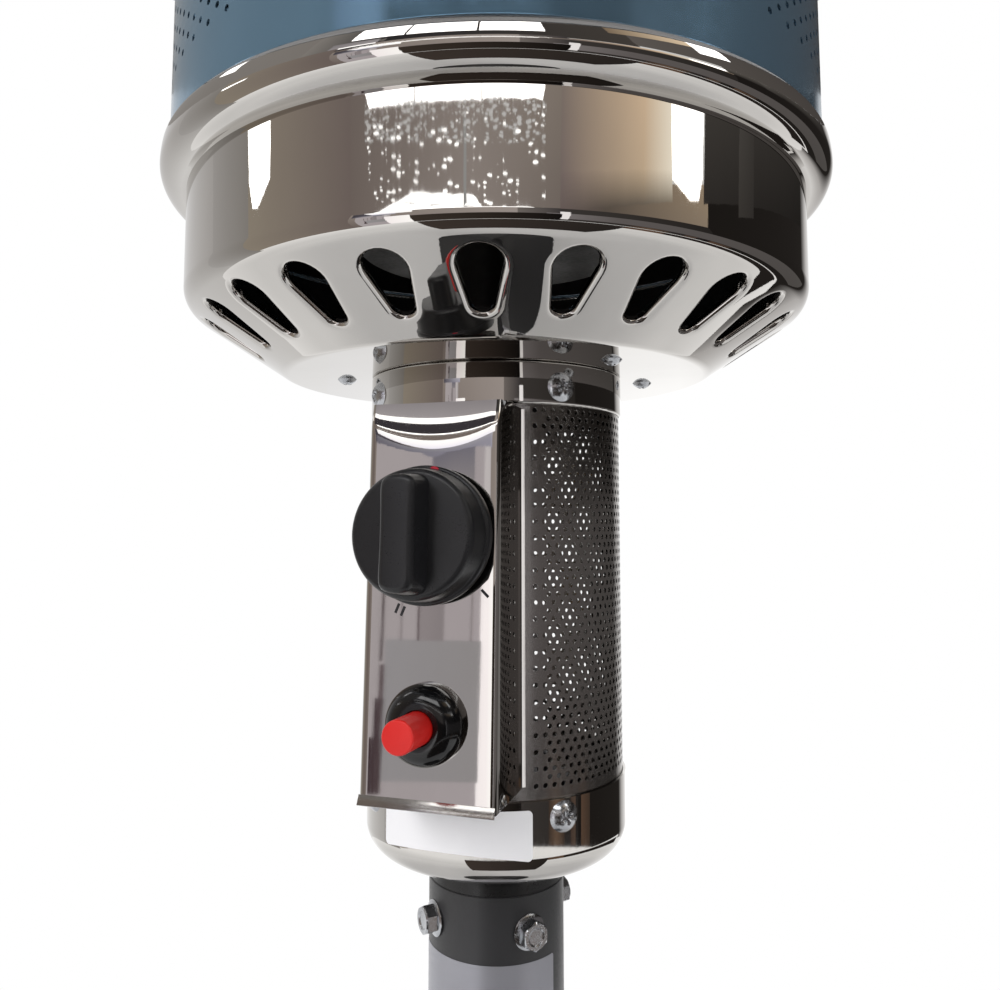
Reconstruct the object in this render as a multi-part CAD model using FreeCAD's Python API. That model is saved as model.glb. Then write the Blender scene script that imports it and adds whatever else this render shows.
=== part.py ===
# Free-standing gas patio heater with a mushroom reflector.
# Origin: middle of the base at floor level. +Z is up, and the control panel faces -Y.
# Azimuths are in degrees from the control panel's side (-Y), positive towards +X.
import FreeCAD
import Part
import math
import os

V = FreeCAD.Vector

# Clearances
seat_gap = 0.3          # between pieces that only lie side by side
slip_gap = 0.1          # round a piece that slips into another
run_gap = 0.05          # running fit of a turning or sliding shaft

# Base
pad_height = 5.0
pad_radius = 12.0
pad_count = 4
base_radius = 245.0
base_sheet = 1.5
base_rise = 50.0        # from the pads to the top that carries the housing
base_flange = 26.0
base_corner = 12.0      # radius of the pressed edge round the top
base_foot_corner = 3.0

# Wheels at the back of the base
wheel_radius = 40.0
wheel_width = 24.0
wheel_recess = 7.0
wheel_rim = 9.0
wheel_lift = 4.0        # from the floor to the wheel, while the base stands
wheel_reach = 50.0      # from the base's skirt to the axle
axle_radius = 4.0
axle_head = 2.5
cheek_spacing = 56.0
cheek_thickness = 3.0
bracket_height = 30.0
bracket_web = 3.0
bracket_nose = 12.0     # from the axle to the cheeks' outer edges

# Tank housing
housing_radius = 210.0
housing_sheet = 0.8
housing_height = 745.0
vent_count = 12
vent_height = 45.0
vent_width = 6.0
vent_foot = 40.0        # from the housing's lower edge to the vents
lid_sheet = 1.0
lid_flange = 16.0
lid_rise = 50.0
lid_neck = 22.0
lid_corner = 5.0
lid_play = 0.8          # round the post, which the lid's neck slides on

# Legs that carry the post over the gas bottle
leg_count = 3
leg_radius = 203.0      # outside face
leg_width = 30.0
leg_thickness = 4.0
leg_bend = 8.0
leg_foot = 46.0
leg_top_gap = 8.0       # from the top of the housing's wall down to the legs' top
leg_shoulder_drop = 92.0
leg_flange = 33.0
leg_bolt_pitch = 20.0

# Post
socket_plate_half = 68.0
socket_plate = 4.0
socket_length = 70.0
socket_wall = 2.0
post_radius = 28.5
post_wall = 1.5
post_length = 826.0
post_bolt_drop = 14.0   # from the post's top edge to its bolts
foot_bolt_rise = 40.0

# Bell, the pressed cup that closes the head at the post
neck_height = 5.0
neck_inset = 0.3
spigot_depth = 62.0
spigot_rise = 12.0
hose_hole = 12.0
bell_radius = 55.1
bell_sheet = 0.9
bell_foot_radius = 30.5
bell_foot_corner = 3.0
bell_slope_rise = 11.5  # of the slope, if it went on to the wall
bell_corner = 12.0
bell_height = 39.5
plate_thickness = 1.5
plate_half = 33.0

# Perforated shroud and its collar
shroud_radius = 54.0
shroud_sheet = 0.7
shroud_height = 148.9   # seen between the bell and the collar
shroud_tuck = 8.0       # hidden inside each of them
collar_height = 16.9
collar_sheet = 0.9
head_bolt_azimuths = (45.0, 135.0, 225.0, 315.0)

# Control panel
panel_width = 50.4
panel_height = 142.0
panel_foot_gap = 5.0    # from the bell's rim to the panel
panel_top_depth = 75.5  # from the post's axis to the panel's front, at its top edge
panel_foot_depth = 81.5
panel_sheet = 1.0
panel_lip = 3.0
panel_tab_height = 12.0
panel_tab_depth = 5.0
window_inset = 3.0

# Gas valve, knob and spring, along the knob's axis
knob_height = 98.5      # from the bell's rim to the knob's axis
knob_push = 3.5
knob_gap = 4.0
skirt_radius = 24.5
skirt_height = 4.0
knob_radius = 22.3
knob_draft = 0.9
knob_face = 19.0
knob_shoulder = 2.2
grip_top = 31.5
grip_width = 11.4
grip_draft = 1.3
spindle_radius = 3.0
spindle_collar = 5.6
spindle_socket = 12.0   # how far the spindle enters the knob
valve_half = 14.0
valve_length = 42.0
valve_front = 8.0
plug_radius = 8.0
plug_length = 20.0
plug_taper = 1.0
plug_floor = 3.0
tongue_width = 2.0
tongue_length = 9.0
spring_wall = 1.2
inlet_radius = 7.0
inlet_bore = 3.5
inlet_length = 16.0
inlet_nut = 9.0

# Piezo igniter, along its button's axis
igniter_height = 33.5   # from the bell's rim to the button's axis
button_radius = 5.7
button_reach = 25.2
button_push = 7.0
button_flange = 7.4
button_stem = 3.5
bezel_radius = 14.8
bezel_height = 9.4
bezel_edge = 2.2
bezel_mouth = 7.0
neck_radius = 8.6
neck_reach = 4.2
igniter_half = 10.0
igniter_length = 42.0
igniter_nut = 4.0
igniter_nut_across = 22.0
igniter_chamber = 16.0

# Burner cup
cup_sheet = 0.9
cup_floor_radius = 92.0
cup_radius = 133.1
cup_cone_rise = 26.6
cup_wall_top = 71.2     # from the cup's floor to the rolled rim
cup_corner = 9.0        # radius of the bend from the cone to the wall
cup_floor_corner = 7.0
rim_centre_radius = 135.0
rim_radius = 8.5
rim_rise = 8.5          # from the top of the wall to the rim's centre
rim_end_deg = 43.0
rim_steps = 5
slot_count = 24
slot_inner = 105.4
slot_outer = 119.5
slot_inner_radius = 4.4
slot_outer_radius = 7.7
slot_edge = 0.9          # the sheet's edge, turned up into the cup all round each slot
slot_edge_height = 2.4

# Burner and its controls
throat_radius = 19.0
throat_wall = 1.5
throat_drop = 24.0      # below the cup's floor
throat_rise = 60.0      # above the cup's floor
air_slot_width = 9.0
air_slot_count = 4
foot_across = 150.0
foot_sheet = 1.5
burner_radius = 62.0
burner_depth = 16.0
burner_crown = 22.0
burner_crown_radius = 30.0
injector_radius = 5.5
injector_length = 16.0
gas_tube_radius = 4.0

# Emitter screen and reflector
screen_radius = 140.0
screen_sheet = 0.8
screen_height = 310.0
stay_count = 3
stay_width = 16.0
stay_sheet = 1.5
stay_first = -24.0
stay_drop = 40.0        # from the rolled rim's middle down to the strap's lower end
stay_rise = 32.0        # from the screen's lower edge up to its upper end
cap_sheet = 1.0
cap_skirt = 12.0
stud_count = 3
stud_ring = 52.0
stud_across = 10.0
stud_height = 68.0
thread_radius = 3.0
reflector_radius = 406.5
reflector_sheet = 0.8
reflector_crown = 75.0
reflector_knee = 235.0
reflector_knee_drop = 34.0
reflector_drop = 74.0
reflector_lip = 9.0
reflector_bend = 20.0   # radius of the bend round the crown
reflector_corner = 3.0
wing_span = 15.0
wing_hub = 6.0

# Bolts
hex_across = 10.0
hex_height = 4.6
hex_flange = 7.0
hex_flange_height = 1.2
big_hex_across = 13.0
big_hex_height = 5.3

# Levels worked out from the sizes above
floor_ring = pad_height
ledge = pad_height + base_rise
leg_top = ledge + housing_height - leg_top_gap
post_foot = leg_top + socket_plate
post_top = post_foot + post_length
shell_top = ledge + housing_height
bell_foot = post_top + neck_height
bell_rim = bell_foot + bell_height
collar_foot = bell_rim + shroud_height
cup_floor = collar_foot + collar_height
rim_centre = cup_floor + cup_wall_top + rim_rise
panel_foot = bell_rim + panel_foot_gap
panel_top = panel_foot + panel_height
lean = math.degrees(math.atan2(panel_foot_depth - panel_top_depth, panel_height))
inner_rim = rim_radius - cup_sheet
screen_foot = rim_centre - inner_rim * 0.6
screen_top = screen_foot + screen_height
crown = screen_top + cap_sheet
reflector_seat = crown + stud_height

os.makedirs("parts", exist_ok=True)


def export(name, *shapes):
    """Writes one piece, or a group of like pieces, as one file."""
    shape = shapes[0] if len(shapes) == 1 else Part.makeCompound(list(shapes))
    shape.exportStep(os.path.join("parts", name + ".step"))


def rod(radius, low, high):
    return Part.makeCylinder(radius, high - low, V(0, 0, low))


def tube(outer, inner, low, high):
    return rod(outer, low, high).cut(rod(inner, low - 1, high + 1))


def block(x0, x1, y0, y1, z0, z1):
    return Part.makeBox(x1 - x0, y1 - y0, z1 - z0, V(x0, y0, z0))


def hex_bar(across, low, high):
    corner = across / 2 / math.cos(math.radians(30))
    points = [V(corner * math.cos(math.radians(a)), corner * math.sin(math.radians(a)), low)
              for a in range(0, 361, 60)]
    return Part.Face(Part.makePolygon(points)).extrude(V(0, 0, high - low))


def turn(face):
    return face.revolve(V(0, 0, 0), V(0, 0, 1), 360)


def outline_edges(points, radii):
    """Edges of a path in the XZ plane, with each inner corner rounded to its radius."""
    edges = []
    start = V(points[0][0], 0, points[0][1])
    for i in range(1, len(points) - 1):
        corner = V(points[i][0], 0, points[i][1])
        back = V(points[i - 1][0], 0, points[i - 1][1]) - corner
        ahead = V(points[i + 1][0], 0, points[i + 1][1]) - corner
        back.normalize()
        ahead.normalize()
        if radii[i] > 0:
            half = back.getAngle(ahead) / 2
            reach = radii[i] / math.tan(half)
            middle = back + ahead
            middle.normalize()
            arc_start = corner + back * reach
            arc_end = corner + ahead * reach
            arc_middle = corner + middle * (radii[i] / math.sin(half) - radii[i])
            edges.append(Part.LineSegment(start, arc_start).toShape())
            edges.append(Part.Arc(arc_start, arc_middle, arc_end).toShape())
            start = arc_end
        else:
            edges.append(Part.LineSegment(start, corner).toShape())
            start = corner
    edges.append(Part.LineSegment(start, V(points[-1][0], 0, points[-1][1])).toShape())
    return edges


def sheet_face(points, radii, thickness):
    """A strip of sheet in the XZ plane. points run along one face, and the sheet lies to
    the left of the way they run, or to the right if thickness is negative."""
    count = len(points)
    ways = []
    for i in range(count - 1):
        dx = points[i + 1][0] - points[i][0]
        dz = points[i + 1][1] - points[i][1]
        length = math.hypot(dx, dz)
        ways.append((dx / length, dz / length))
    other = []
    other_radii = []
    for i in range(count):
        before = ways[max(i - 1, 0)]
        after = ways[min(i, count - 2)]
        nx, nz = -before[1] - after[1], before[0] + after[0]
        scale = 2 / (nx * nx + nz * nz)
        other.append((points[i][0] + nx * scale * thickness, points[i][1] + nz * scale * thickness))
        left_turn = before[0] * after[1] - before[1] * after[0]
        side = math.copysign(1, left_turn) if abs(left_turn) > 1e-9 else 0
        other_radii.append(max(radii[i] - side * thickness, 0) if radii[i] > 0 or side * thickness < 0 else 0)
    first = outline_edges(points, radii)
    second = outline_edges(other, other_radii)
    ends = [Part.LineSegment(V(points[-1][0], 0, points[-1][1]), V(other[-1][0], 0, other[-1][1])).toShape(),
            Part.LineSegment(V(other[0][0], 0, other[0][1]), V(points[0][0], 0, points[0][1])).toShape()]
    return Part.Face(Part.Wire(Part.__sortEdges__(first + second + ends)))


def rolled_rim():
    """Section of the cup's rolled rim: a strip that curls from the wall's top to the screen."""
    start = -90 - math.degrees(math.asin((rim_centre_radius - cup_radius + cup_sheet) / rim_radius))

    def at(radius, step, steps):
        angle = math.radians(start + (rim_end_deg - start) * step / steps)
        return V(rim_centre_radius + radius * math.cos(angle), 0, rim_centre + radius * math.sin(angle))

    outer = [at(rim_radius, i, rim_steps) for i in range(rim_steps + 1)]
    inner = [at(inner_rim, i, rim_steps) for i in range(rim_steps, -1, -1)]
    return Part.Face(Part.makePolygon(outer + inner + [outer[0]]))


def outward(shape, azimuth, radius, height):
    """Turns a piece made along +Z to point away from the post's axis, and places it there."""
    piece = shape.copy()
    piece.rotate(V(0, 0, 0), V(1, 0, 0), 90)
    piece.translate(V(0, -radius, height))
    piece.rotate(V(0, 0, 0), V(0, 0, 1), azimuth)
    return piece


def on_panel(shape, height):
    """Places a piece made along +Z, seated at 0, square to the leaning panel at a height."""
    piece = shape.copy()
    piece.rotate(V(0, 0, 0), V(1, 0, 0), 90 - lean)
    depth = panel_foot_depth - (height - panel_foot) * math.tan(math.radians(lean))
    piece.translate(V(0, -depth, height))
    return piece


def around(shape, count, first=0.0):
    pieces = []
    for i in range(count):
        piece = shape.copy()
        piece.rotate(V(0, 0, 0), V(0, 0, 1), first + 360.0 * i / count)
        pieces.append(piece)
    return pieces


def flange_bolt():
    """Head of a flange bolt, its seat at 0."""
    flange = rod(hex_flange, 0, hex_flange_height)
    return flange.fuse(hex_bar(hex_across, hex_flange_height, hex_flange_height + hex_height))


def hex_bolt(grip):
    """A bolt's head with its seat at 0, and its nut under what it clamps."""
    return [hex_bar(big_hex_across, 0, big_hex_height), hex_bar(big_hex_across, -grip - big_hex_height, -grip)]


# Base

def at_azimuths(shape, angles):
    pieces = []
    for angle in angles:
        piece = shape.copy()
        piece.rotate(V(0, 0, 0), V(0, 0, 1), angle)
        pieces.append(piece)
    return pieces


def base_pan():
    points = [(base_radius - base_flange, floor_ring), (base_radius, floor_ring), (base_radius, ledge), (0, ledge)]
    return turn(sheet_face(points, [0, base_foot_corner, base_corner, 0], base_sheet))


def foot_pads():
    pad = rod(pad_radius, 0, pad_height)
    pad.translate(V(base_radius - base_flange / 2, 0, 0))
    return around(pad, pad_count, 180.0 / pad_count)


# Wheels

def wheel_centre():
    return wheel_lift + wheel_radius


def axle_y():
    return base_radius + wheel_reach


def bracket_low():
    return floor_ring + base_sheet * 2


def wheel_bracket():
    """A web against the base's skirt, and two cheeks that reach out to the axle."""
    half = cheek_spacing / 2
    low = bracket_low()
    high = low + bracket_height
    middle = wheel_centre()
    bracket = block(-half, half, base_radius - 5, base_radius + bracket_web, low, high)
    outline = [(base_radius - 5, low), (axle_y() + bracket_nose / 2, middle - bracket_nose),
               (axle_y() + bracket_nose, middle), (axle_y() + bracket_nose / 2, middle + bracket_nose),
               (axle_y() - bracket_nose / 2, middle + bracket_nose), (base_radius - 5, high)]
    for x in (-half, half - cheek_thickness):
        points = [V(x, y, z) for y, z in outline]
        bracket = bracket.fuse(Part.Face(Part.makePolygon(points + [points[0]])).extrude(V(cheek_thickness, 0, 0)))
    bracket = bracket.cut(rod(base_radius + slip_gap / 2, low - 1, middle + bracket_nose + 1))
    hole = Part.makeCylinder(axle_radius + run_gap, half * 2 + 2, V(-half - 1, axle_y(), middle), V(1, 0, 0))
    return bracket.cut(hole)


def bracket_bolts():
    place = (cheek_spacing / 2 - cheek_thickness) / 2
    bolts = []
    for x in (-place, place):
        bolt = hex_bar(hex_across, 0, hex_height)
        bolt.rotate(V(0, 0, 0), V(1, 0, 0), -90)
        bolt.translate(V(x, base_radius + bracket_web, bracket_low() + bracket_height / 2))
        bolts.append(bolt)
    return bolts


def wheel(side):
    """Plastic wheel with a recess in its outer side, running free on the axle."""
    bore = axle_radius + run_gap
    profile = [(bore, 0), (wheel_radius, 0), (wheel_radius, wheel_width), (wheel_radius - wheel_rim, wheel_width),
               (wheel_radius - wheel_rim, wheel_width - wheel_recess), (bore, wheel_width - wheel_recess)]
    points = [V(r, 0, z) for r, z in profile]
    body = turn(Part.Face(Part.makePolygon(points + [points[0]])))
    body.rotate(V(0, 0, 0), V(0, 1, 0), 90 * side)
    body.translate(V(side * (cheek_spacing / 2 + seat_gap * 2), axle_y(), wheel_centre()))
    return body


def wheel_axle():
    """Axle with a head just outside each wheel's web."""
    half = cheek_spacing / 2 + seat_gap * 4 + wheel_width - wheel_recess
    axle = Part.makeCylinder(axle_radius, half * 2, V(-half, axle_y(), wheel_centre()), V(1, 0, 0))
    for x in (-half - axle_head, half):
        axle = axle.fuse(Part.makeCylinder(axle_radius * 1.8, axle_head, V(x, axle_y(), wheel_centre()), V(1, 0, 0)))
    return axle


# Tank housing

def tank_housing():
    shell = tube(housing_radius, housing_radius - housing_sheet, ledge, shell_top)
    half = vent_width / 2
    low = ledge + vent_foot
    vent = block(housing_radius - 5, housing_radius + 5, -half, half, low, low + vent_height)
    return shell.cut(Part.makeCompound(around(vent, vent_count, 180.0 / vent_count)))


def housing_lid():
    """Shallow cone over the housing, whose neck slides on the post."""
    outer = housing_radius + slip_gap + lid_sheet
    neck = post_radius + lid_play + lid_sheet
    shoulder = shell_top + lid_sheet
    foot = shoulder + lid_rise
    points = [(outer, shell_top - lid_flange), (outer, shoulder), (outer - lid_corner, shoulder + lid_corner * 0.6),
              (neck, foot), (neck, foot + lid_neck)]
    return turn(sheet_face(points, [0] * 5, lid_sheet))


# Legs and post

def leg_azimuths():
    return [90 + 360.0 * i / leg_count for i in range(leg_count)]


def leg():
    """Strap bent into a foot, an upright and a shoulder that ends under the post's plate."""
    top_r = socket_bolt_radius() + leg_flange / 2
    points = [(leg_radius - leg_foot, ledge), (leg_radius, ledge), (leg_radius, leg_top - leg_shoulder_drop), (top_r, leg_top),
              (top_r - leg_flange, leg_top)]
    strap = sheet_face(points, [0, leg_bend, leg_bend * 2, leg_bend * 2, 0], leg_thickness)
    body = strap.extrude(V(0, leg_width, 0))
    body.translate(V(0, -leg_width / 2, 0))
    return body


def socket_bolt_radius():
    return socket_plate_half * 0.8


def leg_bolts():
    bolts = []
    outer = leg_radius - leg_bend - big_hex_across * 0.6
    for radius in (outer, outer - leg_bolt_pitch):
        for piece in hex_bolt(leg_thickness + base_sheet):
            piece.translate(V(radius, 0, ledge + leg_thickness))
            bolts += at_azimuths(piece, leg_azimuths())
    for piece in hex_bolt(socket_plate + leg_thickness):
        piece.translate(V(socket_bolt_radius(), 0, post_foot))
        bolts += at_azimuths(piece, leg_azimuths())
    return bolts


def socket_outer():
    return post_radius - post_wall - slip_gap


def post_socket():
    half = socket_plate_half
    inner = socket_outer() - socket_wall
    body = block(-half, half, -half, half, leg_top, post_foot)
    return body.fuse(rod(socket_outer(), post_foot, post_foot + socket_length)).cut(
        rod(inner, leg_top - 1, post_foot + socket_length + 1))


def post():
    return tube(post_radius, post_radius - post_wall, post_foot, post_top)


def post_bolts():
    """The four bolts at each end that clamp the post on its socket and on the head's spigot."""
    bolts = []
    for height in (post_foot + foot_bolt_rise, post_top - post_bolt_drop):
        bolts += [outward(flange_bolt(), a, post_radius, height) for a in head_bolt_azimuths]
    return bolts


# Lower head: spigot, bell, shroud and collar

def spigot_top():
    return bell_foot + spigot_rise


def head_spigot():
    """Tube that plugs into the post, with a shoulder that the bell sits on."""
    shoulder = rod(post_radius - neck_inset, post_top, bell_foot)
    body = rod(socket_outer(), post_top - spigot_depth, spigot_top()).fuse(shoulder)
    return body.cut(rod(socket_outer() - socket_wall, post_top - spigot_depth - 1, spigot_top() + 1))


def mounting_plate():
    """Square plate on the spigot, with a hole for the gas hose, that carries the tilt switch."""
    plate = block(-plate_half, plate_half, -plate_half, plate_half, spigot_top(), spigot_top() + plate_thickness)
    return plate.cut(rod(hose_hole, spigot_top() - 1, spigot_top() + plate_thickness + 1))


def tilt_switch():
    low = spigot_top() + plate_thickness
    inner = hose_hole + 2
    body = block(inner, plate_half - 1, -9, 9, low, low + 24)
    terminals = [block(inner + 6, inner + 8, y - 2, y + 2, low + 24, low + 31) for y in (-5, 5)]
    return body.fuse(terminals)


def bell_cap():
    points = [(socket_outer() + slip_gap, bell_foot), (bell_foot_radius, bell_foot),
              (bell_radius, bell_foot + bell_slope_rise), (bell_radius, bell_rim)]
    return turn(sheet_face(points, [0, bell_foot_corner, bell_corner, 0], bell_sheet))


def shroud():
    low = bell_rim - shroud_tuck
    high = collar_foot + shroud_tuck
    shell = tube(shroud_radius, shroud_radius - shroud_sheet, low, high)
    half = panel_width / 2 - window_inset
    shell = shell.cut(block(-half, half, -shroud_radius - 5, 0, bell_rim + 1, collar_foot - 1))
    for z in panel_tab_levels():
        for x in panel_tab_sides():
            shell = shell.cut(block(x - slip_gap, x + panel_sheet + slip_gap, -shroud_radius, 0, z - slip_gap,
                                    z + panel_tab_height + slip_gap))
    return shell


def upper_collar():
    return tube(bell_radius, bell_radius - collar_sheet, collar_foot, cup_floor)


# Control panel

def panel_tab_levels():
    return (panel_foot + 20, panel_top - 20 - panel_tab_height)


def panel_tab_sides():
    return (-panel_width / 2, panel_width / 2 - panel_sheet)


def panel_depth(height):
    return panel_foot_depth - (height - panel_foot) * math.tan(math.radians(lean))


def panel_prism(inset, back):
    """The panel's outline, or the hollow behind it, as a leaning prism."""
    half = panel_width / 2 - inset
    skin = inset / math.cos(math.radians(lean))
    low, high = panel_foot + inset, panel_top - inset
    points = [V(-half, -panel_depth(low) + skin, low), V(-half, -panel_depth(high) + skin, high), V(-half, back, high),
              V(-half, back, low)]
    return Part.Face(Part.makePolygon(points + [points[0]])).extrude(V(half * 2, 0, 0))


def control_panel():
    shell = panel_prism(0, -10).cut(panel_prism(panel_sheet, 0))
    shell = shell.cut(rod(shroud_radius + slip_gap / 2, panel_foot - 1, panel_top + 1))
    seat = math.sqrt(shroud_radius ** 2 - (panel_width / 2) ** 2)
    for z in panel_tab_levels():
        for x in panel_tab_sides():
            shell = shell.fuse(block(x, x + panel_sheet, -seat - 2, -seat + panel_tab_depth, z, z + panel_tab_height))
    lip = block(-panel_width / 2, panel_width / 2, 0, panel_sheet, 0, panel_lip + panel_sheet)
    lip.rotate(V(0, 0, 0), V(1, 0, 0), -18)
    lip.translate(V(0, -panel_foot_depth - panel_lip * 0.3, panel_foot - panel_lip))
    shell = shell.fuse(lip)
    shell = shell.cut(on_panel(rod(spindle_radius + seat_gap * 2, -6, 6), knob_axis()))
    return shell.cut(on_panel(rod(neck_radius + slip_gap, -6, 6), igniter_axis()))


def knob_axis():
    return bell_rim + knob_height


def igniter_axis():
    return bell_rim + igniter_height


# Knob and gas valve, each made along +Z with the panel's front face at 0

def knob():
    """Round knob with a skirt and a raised bar across its face to turn it by."""
    mid = knob_gap + skirt_height
    profile = [(0, knob_gap), (skirt_radius, knob_gap), (skirt_radius, mid), (knob_radius + knob_draft, mid),
               (knob_radius, knob_face - knob_shoulder), (knob_radius - knob_shoulder, knob_face), (0, knob_face)]
    points = [V(r, 0, z) for r, z in profile]
    body = turn(Part.Face(Part.makePolygon(points + [points[0]])))
    low = knob_face - 2
    half = grip_width / 2
    section = [V(-half - grip_draft, 0, low), V(half + grip_draft, 0, low), V(half, 0, grip_top - grip_draft),
               V(half - grip_draft, 0, grip_top), V(grip_draft - half, 0, grip_top), V(-half, 0, grip_top - grip_draft)]
    bar = Part.Face(Part.makePolygon(section + [section[0]])).extrude(V(0, knob_radius * 2, 0))
    bar.translate(V(0, -knob_radius, 0))
    bar = bar.common(Part.makeCone(knob_radius - 0.2, knob_radius - grip_draft * 1.2, grip_top - low, V(0, 0, low)))
    return body.fuse(bar).cut(rod(spindle_radius + slip_gap, knob_gap - 1, spindle_tip() + seat_gap))


def spindle_tip():
    return knob_gap + spindle_socket


def valve_floor():
    return -panel_sheet - valve_length


def plug_face():
    return valve_floor() + plug_floor + plug_length


def collar_level():
    return -panel_sheet - valve_front - spindle_collar * 0.3


def valve_spindle():
    """Spindle that carries the knob, with a collar for the spring and a tongue for the plug."""
    low = plug_face() + knob_push + seat_gap
    body = rod(spindle_radius, low, spindle_tip())
    body = body.fuse(rod(spindle_collar, collar_level() - 1.5, collar_level()))
    tongue = block(-tongue_width / 2, tongue_width / 2, -spindle_radius, spindle_radius, low - tongue_length, low)
    return body.fuse(tongue.common(rod(spindle_radius, low - tongue_length, low)))


def valve_plug():
    """Tapered plug that turns in the valve and opens its gas way."""
    cone = Part.makeCone(plug_radius - plug_taper - run_gap, plug_radius - run_gap, plug_length,
                         V(0, 0, plug_face() - plug_length))
    return cone.cut(block(-tongue_width / 2 - run_gap, tongue_width / 2 + run_gap, -spindle_radius - slip_gap,
                          spindle_radius + slip_gap, plug_face() - tongue_length, plug_face() + 1))


def outlet_level():
    return valve_floor() + plug_floor + 5


def gas_valve():
    half = valve_half
    body = block(-half, half, -half, half, valve_floor(), -panel_sheet)
    long_edges = [edge for edge in body.Edges if abs(edge.Length - valve_length) < 0.001]
    body = body.makeChamfer(half * 0.25, long_edges)
    body = body.fuse(Part.makeCylinder(gas_tube_radius + 3, half + 5, V(0, 0, outlet_level()), V(0, 1, 0)))
    body = body.cut(Part.makeCone(plug_radius - plug_taper, plug_radius, plug_length, V(0, 0, plug_face() - plug_length)))
    body = body.cut(rod(plug_radius, plug_face(), -panel_sheet - valve_front))
    body = body.cut(rod(spindle_radius + run_gap, -panel_sheet - valve_front - 1, 0))
    body = body.cut(rod(inlet_bore, valve_floor() - 1, plug_face() - plug_length + 1))
    return body.cut(Part.makeCylinder(gas_tube_radius + slip_gap, 7, V(0, half + 6, outlet_level()), V(0, -1, 0)))


def knob_spring():
    """Return spring round the spindle, as the sleeve that its turns fill."""
    return tube(spindle_collar, spindle_collar - spring_wall, plug_face() + seat_gap, collar_level() - 1.5)


def gas_inlet():
    """Union nut and hose tail at the back of the valve, for a hose that comes up the post."""
    low = valve_floor() - inlet_nut
    body = hex_bar(inlet_radius * 2 + 5, low, valve_floor()).fuse(rod(inlet_radius, low - inlet_length, low))
    return body.cut(rod(inlet_bore, low - inlet_length - 1, valve_floor() + 1))


# Igniter, made along +Z with the panel's front face at 0

def igniter_bezel():
    mouth = button_radius + slip_gap * 2
    profile = [(neck_radius + slip_gap, 0), (bezel_radius, 0), (bezel_radius, bezel_edge),
               (bezel_radius * 0.87, bezel_height * 0.69), (bezel_mouth, bezel_height), (mouth, bezel_height),
               (mouth, neck_reach + slip_gap), (neck_radius + slip_gap, neck_reach + slip_gap)]
    points = [V(r, 0, z) for r, z in profile]
    return turn(Part.Face(Part.makePolygon(points + [points[0]])))


def flange_face():
    return neck_reach - slip_gap


def igniter_button():
    body = rod(button_radius, flange_face() - 1, button_reach - 0.7)
    body = body.fuse(Part.makeCone(button_radius, button_radius - 0.7, 0.7, V(0, 0, button_reach - 0.7)))
    body = body.fuse(rod(button_flange, flange_face() - 2, flange_face()))
    return body.fuse(rod(button_stem, -igniter_chamber - 2, flange_face() - 1))


def igniter_body():
    """Piezo striker: a square body behind the panel and a round neck through it."""
    back = -panel_sheet - igniter_nut
    half = igniter_half
    body = block(-half, half, -half, half, back - igniter_length, back).fuse(rod(neck_radius, back - 1, neck_reach))
    body = body.cut(rod(button_flange + seat_gap, -igniter_chamber, neck_reach + 1))
    return body.cut(rod(button_stem + seat_gap, -igniter_chamber - button_push - 4, 0))


def igniter_ring_nut():
    nut = hex_bar(igniter_nut_across, -panel_sheet - igniter_nut, -panel_sheet)
    return nut.cut(rod(neck_radius + slip_gap, -panel_sheet - igniter_nut - 1, 0))


def button_spring():
    """Return spring behind the button, as the sleeve that its turns fill."""
    outer = button_flange - seat_gap * 2
    return tube(outer, outer - spring_wall, -igniter_chamber, flange_face() - 2)


# Burner cup with its ring of teardrop slots

def cone_angle():
    return math.degrees(math.atan2(cup_cone_rise, cup_radius - cup_floor_radius))


def teardrop(extra, low, high):
    """Slot outline grown by extra, laid on the cone with its narrow end inwards."""
    span = (slot_outer - slot_inner) / math.cos(math.radians(cone_angle()))
    small, large = slot_inner_radius + extra, slot_outer_radius + extra
    tilt = math.asin((small - large) / span)
    up = V(-math.sin(tilt), math.cos(tilt), 0)
    down = V(-math.sin(tilt), -math.cos(tilt), 0)
    far = V(span, 0, 0)
    edges = [Part.Arc(up * small, V(-small, 0, 0), down * small).toShape(),
             Part.LineSegment(down * small, far + down * large).toShape(),
             Part.Arc(far + down * large, V(span + large, 0, 0), far + up * large).toShape(),
             Part.LineSegment(far + up * large, up * small).toShape()]
    body = Part.Face(Part.Wire(edges)).extrude(V(0, 0, high - low))
    body.translate(V(0, 0, low))
    body.rotate(V(0, 0, 0), V(0, 1, 0), -cone_angle())
    body.translate(V(slot_inner, 0, cup_floor + (slot_inner - cup_floor_radius) * math.tan(math.radians(cone_angle()))))
    return body


def burner_cup():
    """Pressed cup with a rolled rim, and slots in its cone whose edges are turned in."""
    top = rim_centre - rim_radius * 0.9
    points = [(throat_radius + seat_gap, cup_floor), (cup_floor_radius, cup_floor),
              (cup_radius, cup_floor + cup_cone_rise), (cup_radius, top)]
    shell = turn(sheet_face(points, [0, cup_floor_corner, cup_corner, 0], cup_sheet)).fuse(turn(rolled_rim()))
    edges = around(teardrop(slot_edge, cup_sheet * 0.5, slot_edge_height), slot_count, -90.0)
    shell = shell.fuse(edges)
    slots = around(teardrop(0, -6, 6), slot_count, -90.0)
    return shell.cut(Part.makeCompound(slots))


def burner_foot():
    """Six-sided plate on the cup's floor that holds the throat."""
    low = cup_floor + cup_sheet
    return hex_bar(foot_across, low, low + foot_sheet).cut(rod(throat_radius + slip_gap, low - 1, low + foot_sheet + 1))


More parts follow.
